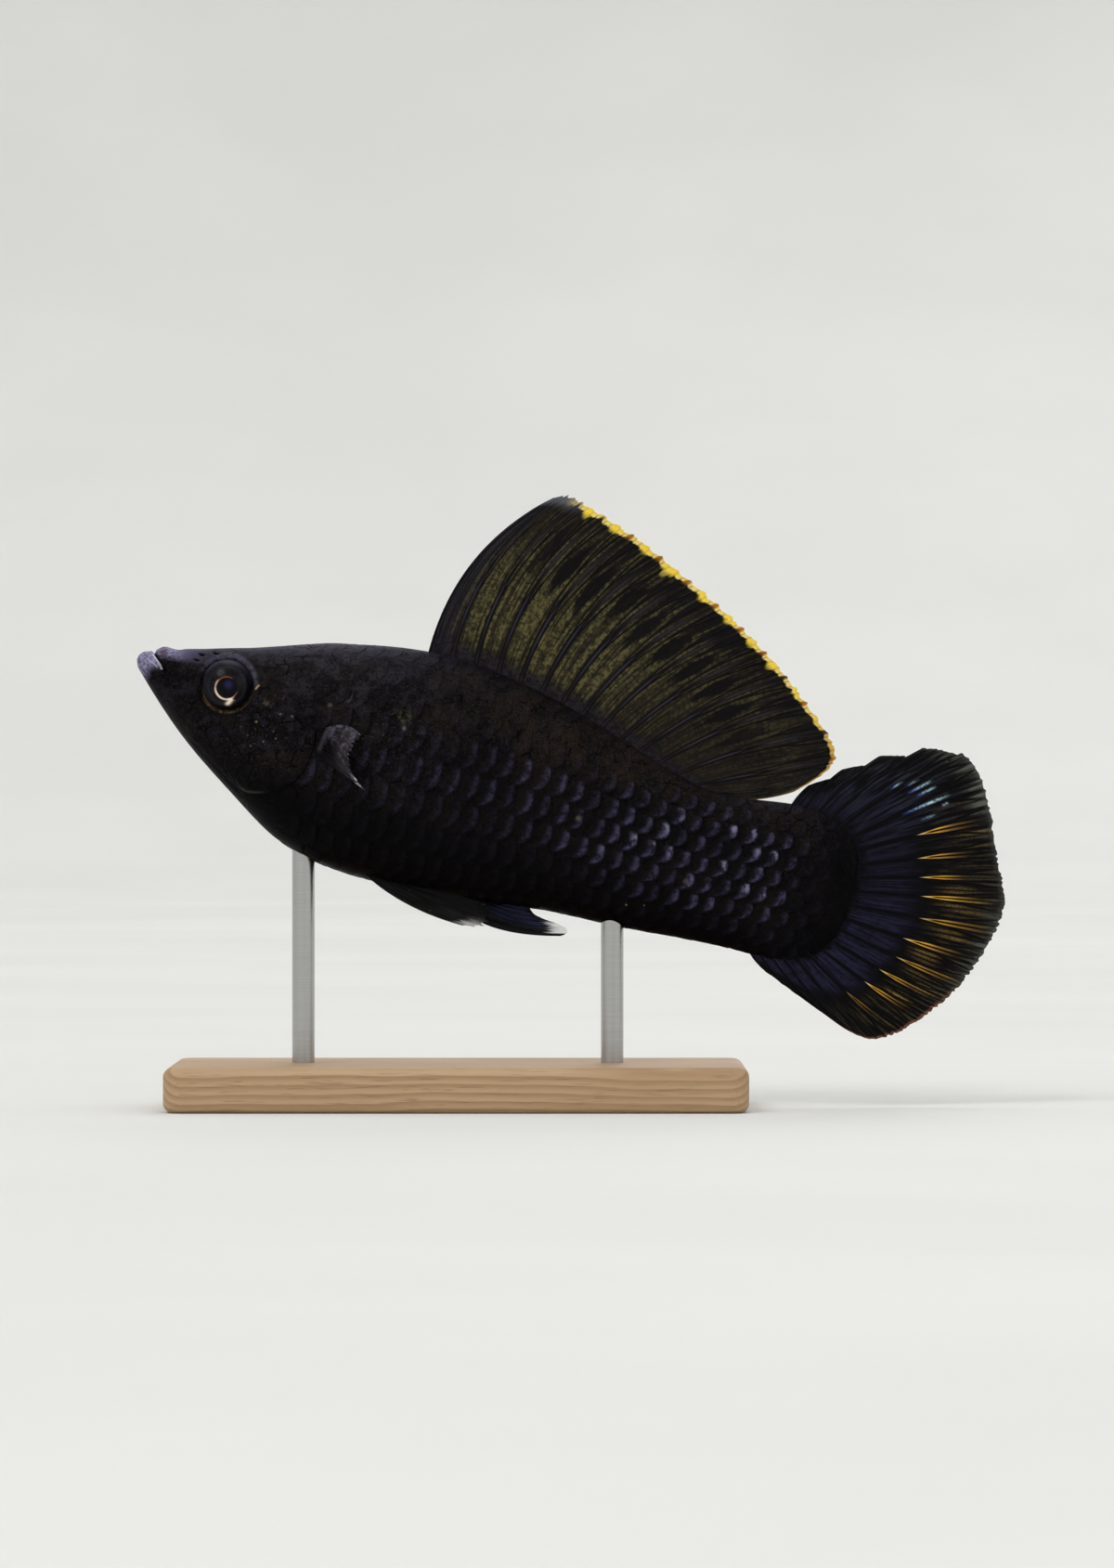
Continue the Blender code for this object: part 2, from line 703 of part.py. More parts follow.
def build_stand(fish, parts, wood, steel):
    front = build_rod("stand_rod_front", ROD_STATIONS[0], fish, parts, steel)
    rear = build_rod("stand_rod_rear", ROD_STATIONS[1], fish, parts, steel)
    bpy.ops.mesh.primitive_cube_add(size=1, location=((front + rear) / 2, 0, BASE_THICKNESS / 2))
    base = bpy.context.object
    base.name = "stand_base"
    base.data.name = "stand_base"
    base.data.transform(Matrix.Diagonal((BASE_LENGTH, BASE_WIDTH, BASE_THICKNESS, 1)))
    rounding = base.modifiers.new("rounding", "BEVEL")
    rounding.width = BASE_ROUNDING
    rounding.segments = 3
    base.data.materials.append(wood)
    for collection in list(base.users_collection):
        collection.objects.unlink(base)
    parts.objects.link(base)


def main():
    for obj in list(bpy.data.objects):
        bpy.data.objects.remove(obj)
    parts = bpy.data.collections.new("sailfin_molly")
    cutters = bpy.data.collections.new("cutters")
    bpy.context.scene.collection.children.link(parts)
    bpy.context.scene.collection.children.link(cutters)
    flesh = make_material("flesh", (0.012, 0.010, 0.012), 0.4)
    fin = make_material("fin", (0.030, 0.026, 0.022), 0.45)
    pale_fin = make_material("pale_fin", (0.16, 0.14, 0.15), 0.45)
    eye = make_material("eye", (0.010, 0.010, 0.016), 0.08)
    wood = make_material("wood", (0.42, 0.27, 0.15), 0.5)
    steel = make_material("steel", (0.55, 0.55, 0.55), 0.35, 1.0)
    fish = bpy.data.objects.new("fish_pose", None)
    fish.rotation_euler = (0, PITCH, 0)
    parts.objects.link(fish)
    head, trunk = build_body(fish, parts, cutters, flesh)
    build_eyes(fish, parts, cutters, head, eye)
    build_gill_covers(fish, parts, cutters, head, trunk, flesh)
    made = dict(collection=parts, parent=fish, material=fin)
    build_dorsal_fin(**made)
    build_caudal_fin(**made)
    build_gonopodium(**made)
    for side, word in ((-1, "left"), (1, "right")):
        build_pelvic_fin("pelvic_fin_" + word, side, **made)
        build_pectoral_fin("pectoral_fin_" + word, side, collection=parts, parent=fish, material=pale_fin)
    place_fish(fish, parts)
    build_stand(fish, parts, wood, steel)


main()
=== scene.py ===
"""Black sailfin molly, an adult male, on its display stand: the visible surfaces.

The fish is shaped in its own frame, as the solids are: X runs from the tip of the lower jaw to the
tail, Y to the fish's right and Z up. It is then pitched and moved to where the solids stand.
"""

import math

import bpy
import numpy as np
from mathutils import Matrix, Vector


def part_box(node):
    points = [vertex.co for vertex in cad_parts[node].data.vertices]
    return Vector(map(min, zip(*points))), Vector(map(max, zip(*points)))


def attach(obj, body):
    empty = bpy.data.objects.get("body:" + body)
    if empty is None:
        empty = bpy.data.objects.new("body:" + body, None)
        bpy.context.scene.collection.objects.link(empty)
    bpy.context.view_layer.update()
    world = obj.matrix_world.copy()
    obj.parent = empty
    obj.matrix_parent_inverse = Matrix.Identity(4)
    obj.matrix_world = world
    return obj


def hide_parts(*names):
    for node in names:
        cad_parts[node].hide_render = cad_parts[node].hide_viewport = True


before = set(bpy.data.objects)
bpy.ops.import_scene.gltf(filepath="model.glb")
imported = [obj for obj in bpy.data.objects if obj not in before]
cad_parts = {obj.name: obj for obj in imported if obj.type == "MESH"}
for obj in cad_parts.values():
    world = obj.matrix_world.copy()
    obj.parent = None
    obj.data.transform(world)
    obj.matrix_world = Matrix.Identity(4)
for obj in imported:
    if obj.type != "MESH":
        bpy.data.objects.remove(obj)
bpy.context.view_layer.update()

MM = 0.001
PITCH = math.radians(17.0)
TAIL_SWAY = 3.0 * MM
SWAY_START = 45.0 * MM
SWAY_END = 100.0 * MM

# The body at stations along its length: distance from the jaw tip, heights of the back and of the
# belly, half width, height of the widest point, and squareness of the upper and the lower half.
STATIONS = np.array([
    (0.0, 1.1, -0.3, 1.45, 0.4, 2.3, 2.1),
    (2.7, 2.25, -2.75, 2.55, -0.1, 2.6, 2.1),
    (7.7, 3.85, -6.75, 4.1, -1.1, 2.7, 2.0),
    (14.5, 6.25, -11.0, 5.6, -2.0, 2.4, 2.0),
    (20.7, 8.55, -14.35, 6.5, -2.5, 2.1, 2.1),
    (27.2, 10.25, -15.75, 6.9, -2.6, 1.9, 2.2),
    (34.5, 11.0, -15.6, 6.75, -2.4, 1.8, 2.2),
    (42.4, 10.35, -14.85, 6.0, -2.3, 1.8, 2.1),
    (50.4, 8.75, -13.4, 5.0, -2.4, 1.8, 2.0),
    (58.2, 6.6, -12.75, 3.95, -2.8, 1.9, 2.0),
    (66.0, 5.2, -11.9, 3.0, -3.0, 2.0, 2.0),
    (73.7, 6.35, -11.3, 2.15, -2.5, 2.0, 2.0),
    (84.0, 6.6, -11.8, 0.6, -2.4, 2.2, 2.2),
])
JAW_TIP = -0.08 * MM
NOSE_LENGTH = 0.5 * MM
TAIL_END_START = 73.8 * MM
TAIL_END_LENGTH = 9.8 * MM
TAIL_BLUNT_END = 83.5 * MM

EYE_CENTRE = np.array((10.5, 0.4)) * MM
EYE_RADIUS = 2.95 * MM
PUPIL_CENTRE = np.array((10.6, 0.17)) * MM
MOUTH_FRONT = np.array((1.35, 1.85)) * MM
MOUTH_CORNER = np.array((3.3, 0.05)) * MM
COVER_CENTRE = (17.2 * MM, -4.0 * MM)
COVER_ANGLES = (0, 45, 90, 135, 180, 225, 250, 270, 315, 360)
COVER_RADII = (4.5, 5.0, 4.4, 3.9, 3.7, 5.3, 6.4, 6.0, 5.1, 4.5)

SCALE_PITCH = 2.07 * MM
SCALE_ROWS = 18
COAT_DEPTH = 0.22 * MM
CROWN_WIDTH = 0.42

# Lower and upper bounds of the flank's bright scales: stations, then heights.
SHEEN_LOW = ((20, 34, 46, 52, 58, 66, 80), (-8.2, -7.0, -5.2, -6.3, -7.7, -8.2, -7.5))
SHEEN_HIGH = ((20, 34, 50, 66, 72, 80), (-0.3, 0.9, 2.1, 3.0, 2.6, 1.5))

# Lamps: name, place, width and power, all facing one point of the model.
LAMPS = (
    ("key", (-1.0, -1.75, 1.9), 1.1, 20.0),
    ("fill", (1.9, -1.6, 0.7), 1.5, 5.0),
    ("top", (0.2, 0.3, 2.4), 1.6, 12.0),
    ("rear", (0.6, 2.0, 1.3), 1.4, 8.0),
)
LAMP_AIM = (0.0, 0.0, 0.04)

# The camera: its distance and sensor, the picture's size in pixels, one pixel's length at the fish, and
# the pixel where the tip of the jaw is seen.
CAMERA_AWAY = 0.9
SENSOR = 36.0
PHOTO_SIZE = (1200, 1689)
PIXEL = 0.103 * MM
JAW_SEEN = (148, 709)


# Shapes of the body.

def spline(knots, values):
    """A natural cubic spline through values at the knots, as a function that takes arrays."""
    x = np.asarray(knots, float)
    y = np.asarray(values, float).reshape(len(x), -1)
    step = np.diff(x)
    slope = np.diff(y, axis=0) / step[:, None]
    system = np.eye(len(x))
    right = np.zeros_like(y)
    for i in range(1, len(x) - 1):
        system[i, i - 1:i + 2] = step[i - 1], 2 * (step[i - 1] + step[i]), step[i]
        right[i] = 6 * (slope[i] - slope[i - 1])
    bend = np.linalg.solve(system, right)

    def curve(at):
        """The cubic between two knots, from their values and bends."""
        at = np.clip(np.asarray(at, float), x[0], x[-1])
        i = np.clip(np.searchsorted(x, at) - 1, 0, len(x) - 2)
        h = step[i][..., None]
        b = (at - x[i])[..., None] / h
        a = 1 - b
        found = a * y[i] + b * y[i + 1]
        return found + ((a**3 - a) * bend[i] + (b**3 - b) * bend[i + 1]) * h * h / 6

    return curve


STATION_SCALE = np.array((MM, MM, MM, MM, MM, 1.0, 1.0))
body_curve = spline(STATIONS[:, 0] * MM, (STATIONS * STATION_SCALE)[:, 1:])


def join(*parts):
    """Arrays side by side along a new last axis, each spread to the shape of the others."""
    return np.stack(np.broadcast_arrays(*parts), axis=-1)


def circle(count):
    """Angles all the way round, the last at the same place as the first."""
    return np.linspace(0, 2 * math.pi, count)


def ease(low, high, x):
    """Rises smoothly from 0 at low to 1 at high, as 3t^2 - 2t^3."""
    t = np.clip((x - low) / (high - low), 0, 1)
    return t * t * (3 - 2 * t)


def hump(x, centre, width):
    """A bell: the exponential of minus the square of the distance from the centre in widths."""
    return np.exp(-(((x - centre) / width) ** 2))


def sway(s):
    """How far the spine swings to the fish's right: grows with the square of the way past its start."""
    return TAIL_SWAY * (np.clip(s - SWAY_START, 0, None) / (SWAY_END - SWAY_START)) ** 2


def section(s):
    """Back, belly, half width, widest height and both squarenesses at s.

    The nose is rounded as a quarter ellipse, the tail end by the powers 3 above and 2.6 below.
    """
    back, belly, half, widest, upper, lower = np.moveaxis(body_curve(s), -1, 0)
    nose = np.clip((s - JAW_TIP) / NOSE_LENGTH, 0, 1)
    round_nose = np.sqrt(1 - (1 - nose) ** 2)
    tail = np.clip((s - TAIL_END_START) / TAIL_END_LENGTH, 0, 1)
    round_back = round_nose * (1 - tail**3) ** (1 / 3)
    round_belly = round_nose * (1 - tail**2.6) ** (1 / 2.6)
    return (
        widest + (back - widest) * round_back,
        widest - (widest - belly) * round_belly,
        half * round_nose,
        widest,
        upper,
        lower,
    )


def flank(s, h):
    """Half width of the body at station s and height h: half a superellipse above and one below."""
    back, belly, half, widest, upper, lower = section(s)
    above = h >= widest
    reach = np.where(above, back - widest, widest - belly)
    power = np.where(above, upper, lower)
    share = np.clip(np.abs(h - widest) / reach, 0, 1)
    return half * (1 - share**power) ** (1 / power)


def body_point(s, a):
    """The body at station s and angle a: signed powers of cosine and sine, from right flank to back."""
    back, belly, half, widest, upper, lower = section(s)
    across, up = np.cos(a), np.sin(a)
    power = 2 / np.where(up >= 0, upper, lower)
    reach = np.where(up >= 0, back - widest, widest - belly)
    y = half * np.sign(across) * np.abs(across) ** power
    h = widest + reach * np.sign(up) * np.abs(up) ** power
    return join(s, y + sway(s), h)


def belly_point(s, y):
    """The point of the belly under station s, at a distance y from the middle."""
    _, belly, half, widest, _, lower = section(s)
    drop = (1 - (np.abs(y) / half) ** lower) ** (1 / lower)
    return join(s, y + sway(s), widest - (widest - belly) * drop)


def normals_of(grid):
    """Unit normals of a grid of points: the cross product of its two differences."""
    n = np.cross(np.gradient(grid, axis=0), np.gradient(grid, axis=1))
    return n / np.maximum(np.linalg.norm(n, axis=-1, keepdims=True), 1e-12)


def ring_normals(grid):
    """Unit outward normals of a grid whose columns run round and whose last column repeats the first."""
    along = np.gradient(grid, axis=0)
    padded = np.concatenate([grid[:, -2:-1], grid, grid[:, 1:2]], axis=1)
    n = np.cross(padded[:, 2:] - padded[:, :-2], along)
    return n / np.maximum(np.linalg.norm(n, axis=-1, keepdims=True), 1e-12)


eye_low, eye_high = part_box("eye_left")
EYE_MIDDLE = (np.array(eye_low) + np.array(eye_high)) / 2
TURN = np.array([
    (math.cos(PITCH), 0.0, math.sin(PITCH)),
    (0.0, 1.0, 0.0),
    (-math.sin(PITCH), 0.0, math.cos(PITCH)),
])
FISH_PLACE = (EYE_MIDDLE - TURN @ np.array((EYE_CENTRE[0], 0, EYE_CENTRE[1]))) * (1, 0, 1)


def posed(points):
    """Points of the fish's frame pitched and moved to where the solids stand."""
    return points @ TURN.T + FISH_PLACE


# Meshes.

def grid_quads(rows, columns):
    """The four corners of each cell of a grid of points, counted row by row."""
    i, j = np.meshgrid(np.arange(rows - 1), np.arange(columns - 1), indexing="ij")
    a = (i * columns + j).ravel()
    return join(a, a + 1, a + columns + 1, a + columns)


def volume_of(points, faces):
    """Six times the signed volume inside a mesh: the sum of its triangles' triple products."""
    first, second, third = points[faces[:, 0]], points[faces[:, 1]], points[faces[:, 2]]
    total = np.einsum("ij,ij->i", first, np.cross(second, third)).sum()
    if faces.shape[1] == 4:
        fourth = points[faces[:, 3]]
        total += np.einsum("ij,ij->i", first, np.cross(third, fourth)).sum()
    return total


def add_piece(name, points, faces, material, nodes=(), charts=None, levels=None, sharp=50):
    """A finished piece from points and arrays of faces, facing outwards and riding on the body."""
    middle = points - points.mean(axis=0)
    if sum(volume_of(middle, part) for part in faces) < 0:
        faces = [part[:, ::-1] for part in faces]
    mesh = bpy.data.meshes.new(name)
    mesh.from_pydata(points.tolist(), [], [corner for part in faces for corner in part.tolist()])
    corners = np.concatenate([part.ravel() for part in faces])
    for chart, values in (charts or {}).items():
        layer = mesh.uv_layers.new(name=chart)
        layer.data.foreach_set("uv", values.astype(np.float32)[corners].ravel())
    for level, values in (levels or {}).items():
        layer = mesh.attributes.new(level, "FLOAT", "POINT")
        layer.data.foreach_set("value", np.full(len(points), values, np.float32))
    mesh.materials.append(material)
    mesh.shade_smooth()
    mesh.set_sharp_from_angle(angle=math.radians(sharp))
    mesh.update()
    piece = bpy.data.objects.new(name, mesh)
    bpy.context.scene.collection.objects.link(piece)
    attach(piece, "root")
    if nodes:
        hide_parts(*nodes)


def tube(grid):
    """Faces of closed rings with a pole at each end, for the points that open_columns gives."""
    rows, columns = grid.shape[0], grid.shape[1] - 1
    i, j = np.meshgrid(np.arange(rows - 1), np.arange(columns), indexing="ij")
    low, high = i * columns, (i + 1) * columns
    k = (j + 1) % columns
    quads = join(low + j, low + k, high + k, high + j)
    ring = np.arange(columns)
    after = (ring + 1) % columns
    first = join(rows * columns, after, ring)
    last_ring = (rows - 1) * columns
    last = join(rows * columns + 1, last_ring + ring, last_ring + after)
    return [quads.reshape(-1, 4), np.concatenate([first, last])]


def open_columns(values):
    """A grid's values less the repeated last column, then its two poles as the means of the end rings."""
    kept = values[:, :-1]
    flat = kept.reshape(-1, *values.shape[2:])
    return np.concatenate([flat, [kept[0].mean(axis=0), kept[-1].mean(axis=0)]])


def plate_faces(rows, columns):
    """Faces of a plate whose two sides are grids of points, one after the other: both, and the rim."""
    near = grid_quads(rows, columns)
    other = rows * columns
    rim = np.concatenate([
        np.arange(columns),
        np.arange(1, rows) * columns + columns - 1,
        other - 2 - np.arange(columns - 1),
        np.arange(rows - 2, 0, -1) * columns,
    ])
    after = np.roll(rim, -1)
    edge = join(after, rim, other + rim, other + after)
    return np.concatenate([near, near[:, ::-1] + other, edge])


# Materials.

class Term:
    """One socket of a material that takes part in sums and products."""

    def __init__(self, paint, socket):
        self.paint = paint
        self.socket = socket

    def maths(self, operation, other=None):
        """A Math node on this value, and on another where it takes two."""
        return self.paint.maths(operation, self, other)

    def __add__(self, other):
        return self.maths("ADD", other)

    def __sub__(self, other):
        return self.maths("SUBTRACT", other)

    def __mul__(self, other):
        return self.maths("MULTIPLY", other)

    def __truediv__(self, other):
        return self.maths("DIVIDE", other)

    def __rsub__(self, other):
        return self.paint.maths("SUBTRACT", other, self)

    __radd__ = __add__
    __rmul__ = __mul__

    def size(self):
        """The value without its sign."""
        return self.maths("ABSOLUTE")

    def part(self):
        """What is left of the value past the last whole number."""
        return self.maths("FRACT")

    def whole(self):
        """The last whole number up to the value."""
        return self.maths("FLOOR")

    def most(self, other):
        """The larger of the two."""
        return self.maths("MAXIMUM", other)

    def least(self, other=1.0):
        """The smaller of the two, where the other is 1 unless it is given."""
        return self.maths("MINIMUM", other)

    def power(self, exponent):
        """The value to a power."""
        return self.maths("POWER", exponent)

    def bell(self):
        """The exponential of the value, which is 1 at 0 and fades below it."""
        return self.maths("EXPONENT")

    def ease(self, low, high):
        """Rises smoothly from 0 at low to 1 at high, or falls where low is the larger."""
        settings = {"interpolation_type": "SMOOTHSTEP"}
        return self.paint.node("ShaderNodeMapRange", settings, {0: self, 1: low, 2: high})

    def shaken(self, noise, amount):
        """The value moved to and fro by a noise about 0.5."""
        return self + (noise - 0.5) * amount

    def span(self, start, full, ebb, end):
        """Rises from 0 at start to 1 at full, and falls from 1 at ebb to 0 at end."""
        return self.ease(start, full) * self.ease(end, ebb)

    def hump(self, centre, width):
        """A bell round the centre: e to the power of minus the square of the distance in widths."""
        away = (self - centre) / width
        return (away * away * -1.0).bell()


class Paint:
    """A material, the nodes that it is made from, and the colour that is built up coat by coat."""

    def __init__(self, name, roughness, **fixed):
        self.material = bpy.data.materials.new(name)
        self.material.use_nodes = True
        self.tree = self.material.node_tree
        self.shader = self.tree.nodes["Principled BSDF"]
        for socket, value in {"Roughness": roughness, **fixed}.items():
            self.put(self.shader.inputs[socket.replace("_", " ")], value)

    def put(self, socket, value):
        """Sets a socket to a value, or links a term to it."""
        if isinstance(value, Term):
            self.tree.links.new(value.socket, socket)
        elif socket.type == "RGBA":
            socket.default_value = (*value, 1.0)
        else:
            socket.default_value = value

    def node(self, kind, settings=None, inputs=None, out=0):
        """Any node: its settings first, then its sockets, and the term of one of its outputs."""
        made = self.tree.nodes.new(kind)
        for key, value in (settings or {}).items():
            setattr(made, key, value)
        for key, value in (inputs or {}).items():
            if value is not None:
                self.put(made.inputs[key], value)
        return Term(self, made.outputs[out])

    def maths(self, operation, first, second=None):
        """A Math node on one or two values."""
        return self.node("ShaderNodeMath", {"operation": operation}, {0: first, 1: second})

    def place(self):
        """The place on the model, in metres."""
        return self.node("ShaderNodeTexCoord", out="Object")

    def one(self, where, axis):
        """One coordinate of a place."""
        return self.node("ShaderNodeSeparateXYZ", None, {0: where}, axis)

    def chart(self, name, times=1):
        """The two coordinates of one of the piece's own charts."""
        where = self.node("ShaderNodeUVMap", {"uv_map": name})
        return self.one(where, "X") * times, self.one(where, "Y") * times

    def level(self, name):
        """One of the piece's own values that vary from point to point."""
        return self.node("ShaderNodeAttribute", {"attribute_name": name}, out="Fac")

    def noise(self, scale, detail=3.0, rough=0.6, where=None):
        """Cloudy noise about 0.5, with so many grains to a metre."""
        inputs = {"Vector": where or self.place(), "Scale": scale, "Detail": detail, "Roughness": rough}
        return self.node("ShaderNodeTexNoise", None, inputs)

    def drawn(self, scale, detail, rough, stretch):
        """Cloudy noise on a place stretched by three factors, so its grains are drawn out."""
        where = self.node("ShaderNodeMapping", None, {"Vector": self.place(), "Scale": stretch})
        return self.noise(scale, detail, rough, where)

    def chance(self, number):
        """A random value between 0 and 1 for each number."""
        return self.node("ShaderNodeTexWhiteNoise", {"noise_dimensions": "1D"}, {"W": number})

    def mix(self, share, first, second):
        """The first colour where the share is 0 and the second where it is 1."""
        return self.node("ShaderNodeMix", {"data_type": "RGBA"}, {0: share, 6: first, 7: second}, 2)

    def start(self, share, first, second):
        """The ground colour: a mix of two by a share."""
        self.colour = self.mix(share, first, second)

    def over(self, share, colour):
        """Lays a colour over what is there, by a share."""
        self.colour = self.mix(share, self.colour, colour)

    def bump(self, height, strength, distance):
        """Shades the surface as if it stood out by a height."""
        inputs = {"Height": height, "Strength": strength, "Distance": distance}
        self.put(self.shader.inputs["Normal"], self.node("ShaderNodeBump", None, inputs))

    def finish(self, roughness=None, alpha=None):
        """The material with its colour, and with what varies in roughness and alpha."""
        for socket, value in (("Base Color", self.colour), ("Roughness", roughness), ("Alpha", alpha)):
            if value is not None:
                self.put(self.shader.inputs[socket], value)
        return self.material


def distance(x, y):
    """The length of the step x, y: the square root of the sum of the squares."""
    return (x * x + y * y).maths("SQRT")


BLACK = (0.0032, 0.0027, 0.0034)
UMBER = (0.009, 0.0064, 0.0055)
OLIVE = (0.008, 0.0078, 0.0056)
VIOLET_SHEEN = (0.042, 0.039, 0.062)
LIP = (0.272, 0.256, 0.4)
LIP_SHADE = (0.085, 0.076, 0.138)
SHEEN = (0.076, 0.071, 0.142)
PALE_SHEEN = (0.2, 0.192, 0.3)
GOLD = (0.24, 0.19, 0.12)

# Small gold and grey flecks of the cheek and flank: place, radius, and strength.
FLECKS = (
    (15.27, -0.16, 0.26, 0.22),
    (14.79, -2.46, 0.11, 0.6),
    (14.98, -5.2, 0.11, 0.5),
    (17.1, -0.88, 0.1, 0.55),
    (18.45, -0.72, 0.12, 0.75),
    (16.2, -4.3, 0.09, 0.5),
    (17.4, -3.6, 0.08, 0.45),
    (22.03, 1.69, 0.2, 0.3),
    (30.66, 1.64, 0.22, 0.4),
    (51.9, -2.31, 0.28, 0.28),
    (65.37, -5.52, 0.3, 0.2),
    (59.78, -9.93, 0.09, 0.6),
    (61.7, -9.4, 0.08, 0.45),
)

# Thin blue-white streaks of the caudal fin: ray number, where each starts and ends, and strength.
GLINTS = (
    (3.84, 0.46, 0.58, 0.6),
    (4.15, 0.52, 0.66, 0.35),
    (4.42, 0.5, 0.72, 0.85),
    (4.65, 0.54, 0.71, 0.75),
    (5.04, 0.39, 0.78, 1.0),
    (5.24, 0.67, 0.74, 0.6),
    (5.48, 0.5, 0.64, 0.35),
)

# Pits of the nostrils on each side: place, half length and half height.
NOSTRILS = ((6.74, 2.85, 0.38, 0.15), (6.39, 2.12, 0.36, 0.11), (8.35, 3.34, 0.36, 0.13))


def hide_colour(paint):
    """The colour of the hide, which the skin, the gill covers and the scales share.

    Near-black, mottled with umber and olive, warmer below the dorsal fin, with painted shade along the flank,
    a violet painted sheen along the crown, a pale painted highlight over the top of the head, and a mottled
    nape.
    """
    along, height = paint.chart("side", 10)
    mottle = paint.noise(260, 4, 0.7)
    patch = paint.noise(620)
    fine = paint.noise(1500, 4, 0.7)
    grain = paint.noise(4200, 2)
    paint.start(mottle.ease(0.44, 0.66), BLACK, UMBER)
    paint.over(fine.ease(0.5, 0.64) * 0.8, OLIVE)
    dusty = patch.ease(0.5, 0.62) * along.ease(46, 30) * height.ease(-9.0, -3.0)
    paint.over(dusty * 0.55, (0.015, 0.0135, 0.019))
    saddle = along.hump(50, 15) * height.hump(5.5, 4.0)
    paint.over(saddle * mottle.ease(0.35, 0.6) * 0.8, (0.0165, 0.0108, 0.007))
    nape = along.hump(20, 10) * height.hump(6.0, 3.2)
    paint.over(nape * patch.ease(0.44, 0.6) * 0.42, (0.033, 0.03, 0.034))
    paint.over(grain.ease(0.56, 0.66) * 0.8, (0.016, 0.0135, 0.0165))
    paint.over(grain.ease(0.45, 0.35) * 0.9, (0.0008, 0.0007, 0.0008))
    shadow = along.ease(28, 40) * height.ease(4.0, 0.5) * 0.45
    paint.over(shadow, (0.0014, 0.0011, 0.0016))
    dark = (height.ease(-5.0, -10.5) * 0.9 + (along + fine * 4).ease(79, 83.5) * 0.7).least()
    paint.over(dark, (0.0012, 0.001, 0.0014))
    # Painted sheen: violet along the top of the back and the head, paler as a painted highlight over the
    # head.
    crown = paint.level("crown")
    rim = (crown * along.ease(40, 24) * 0.7 + crown * along.hump(72, 4.5) * 0.5).least()
    paint.over(rim * fine.ease(0.25, 0.65), VIOLET_SHEEN)
    brow = crown * along.ease(30, 16) * fine.ease(0.25, 0.6)
    paint.over(brow * 0.6, (0.105, 0.096, 0.142))
    cheek = along.hump(15.5, 3.4) * height.hump(-3.2, 4.2) + along.hump(29, 5.0) * height.hump(0.5, 3.0) * 0.6
    paint.over(grain.ease(0.665, 0.71) * cheek * 0.7, (0.095, 0.088, 0.08))
    for s, h, radius, strength in FLECKS:
        away = distance(along - s, height - h)
        spot = away.shaken(grain, 0.3).ease(radius * 1.7, radius * 0.3)
        paint.over(spot * fine.ease(0.3, 0.55) * strength, GOLD)
    ring = distance(along - 30.25, height - 2.9)
    paint.over(ring.hump(0.55, 0.25) * fine.ease(0.42, 0.62) * 0.4, (0.11, 0.105, 0.045))
    return along, height, fine


def line_mask(along, height, start, end, width):
    """A soft line between two points of a chart: a bell of the distance from it, and the share of the
    way along it.
    """
    way = (end[0] - start[0], end[1] - start[1])
    square = way[0] ** 2 + way[1] ** 2
    share = (along - start[0]) * (way[0] / square) + (height - start[1]) * (way[1] / square)
    share = share.most(0.0).least()
    across = along - share * way[0] - start[0]
    up = height - share * way[1] - start[1]
    return ((across * across + up * up) * (-1 / width**2)).bell(), share


def paint_mouth(paint, along, height, grain):
    """Pale violet lips, each within its own bounds beside the mouth line, and three thin painted highlights.

    Two of the lines follow the edge of the upper lip down to its corner, and one that of the lower lip.
    """
    above = (along - 1.35) * 0.678 + (height - 1.85) * 0.735
    upper = above.ease(0.02, 0.25) * (along + grain * 3.0).ease(10.5, 4.6)
    upper = upper * (height - along * 0.12 + grain * 0.6).ease(0.85, 1.95)
    lower = (along.ease(2.2, 0.7) + (height + grain * 0.4).ease(-0.2, 0.75)).least() * above.ease(0.02, -0.2)
    lower = lower * along.ease(3.3, 2.0) * (height + grain * 1.5).ease(-1.9, 0.3)
    lips = paint.mix(grain.ease(0.36, 0.6) * along.ease(6.0, 2.4), LIP_SHADE, LIP)
    paint.over((upper + lower).least(), lips)
    middle = distance(along - 2.75, height - 1.65)
    paint.over(middle.shaken(grain, 0.5).ease(0.62, 0.25) * 0.75, (0.075, 0.047, 0.058))
    # Painted highlights: thin bright lines along the edges of the lips.
    for start, end, width, strength in (
        ((1.4, 1.42), (2.62, 0.5), 0.085, 0.95),
        ((2.62, 0.5), (2.98, 0.05), 0.07, 0.7),
        ((0.89, 0.78), (2.47, 0.16), 0.09, 0.32),
    ):
        edge, share = line_mask(along, height, start, end, width)
        paint.over(edge * share.ease(0.0, 0.15) * strength, (0.7, 0.68, 0.78))


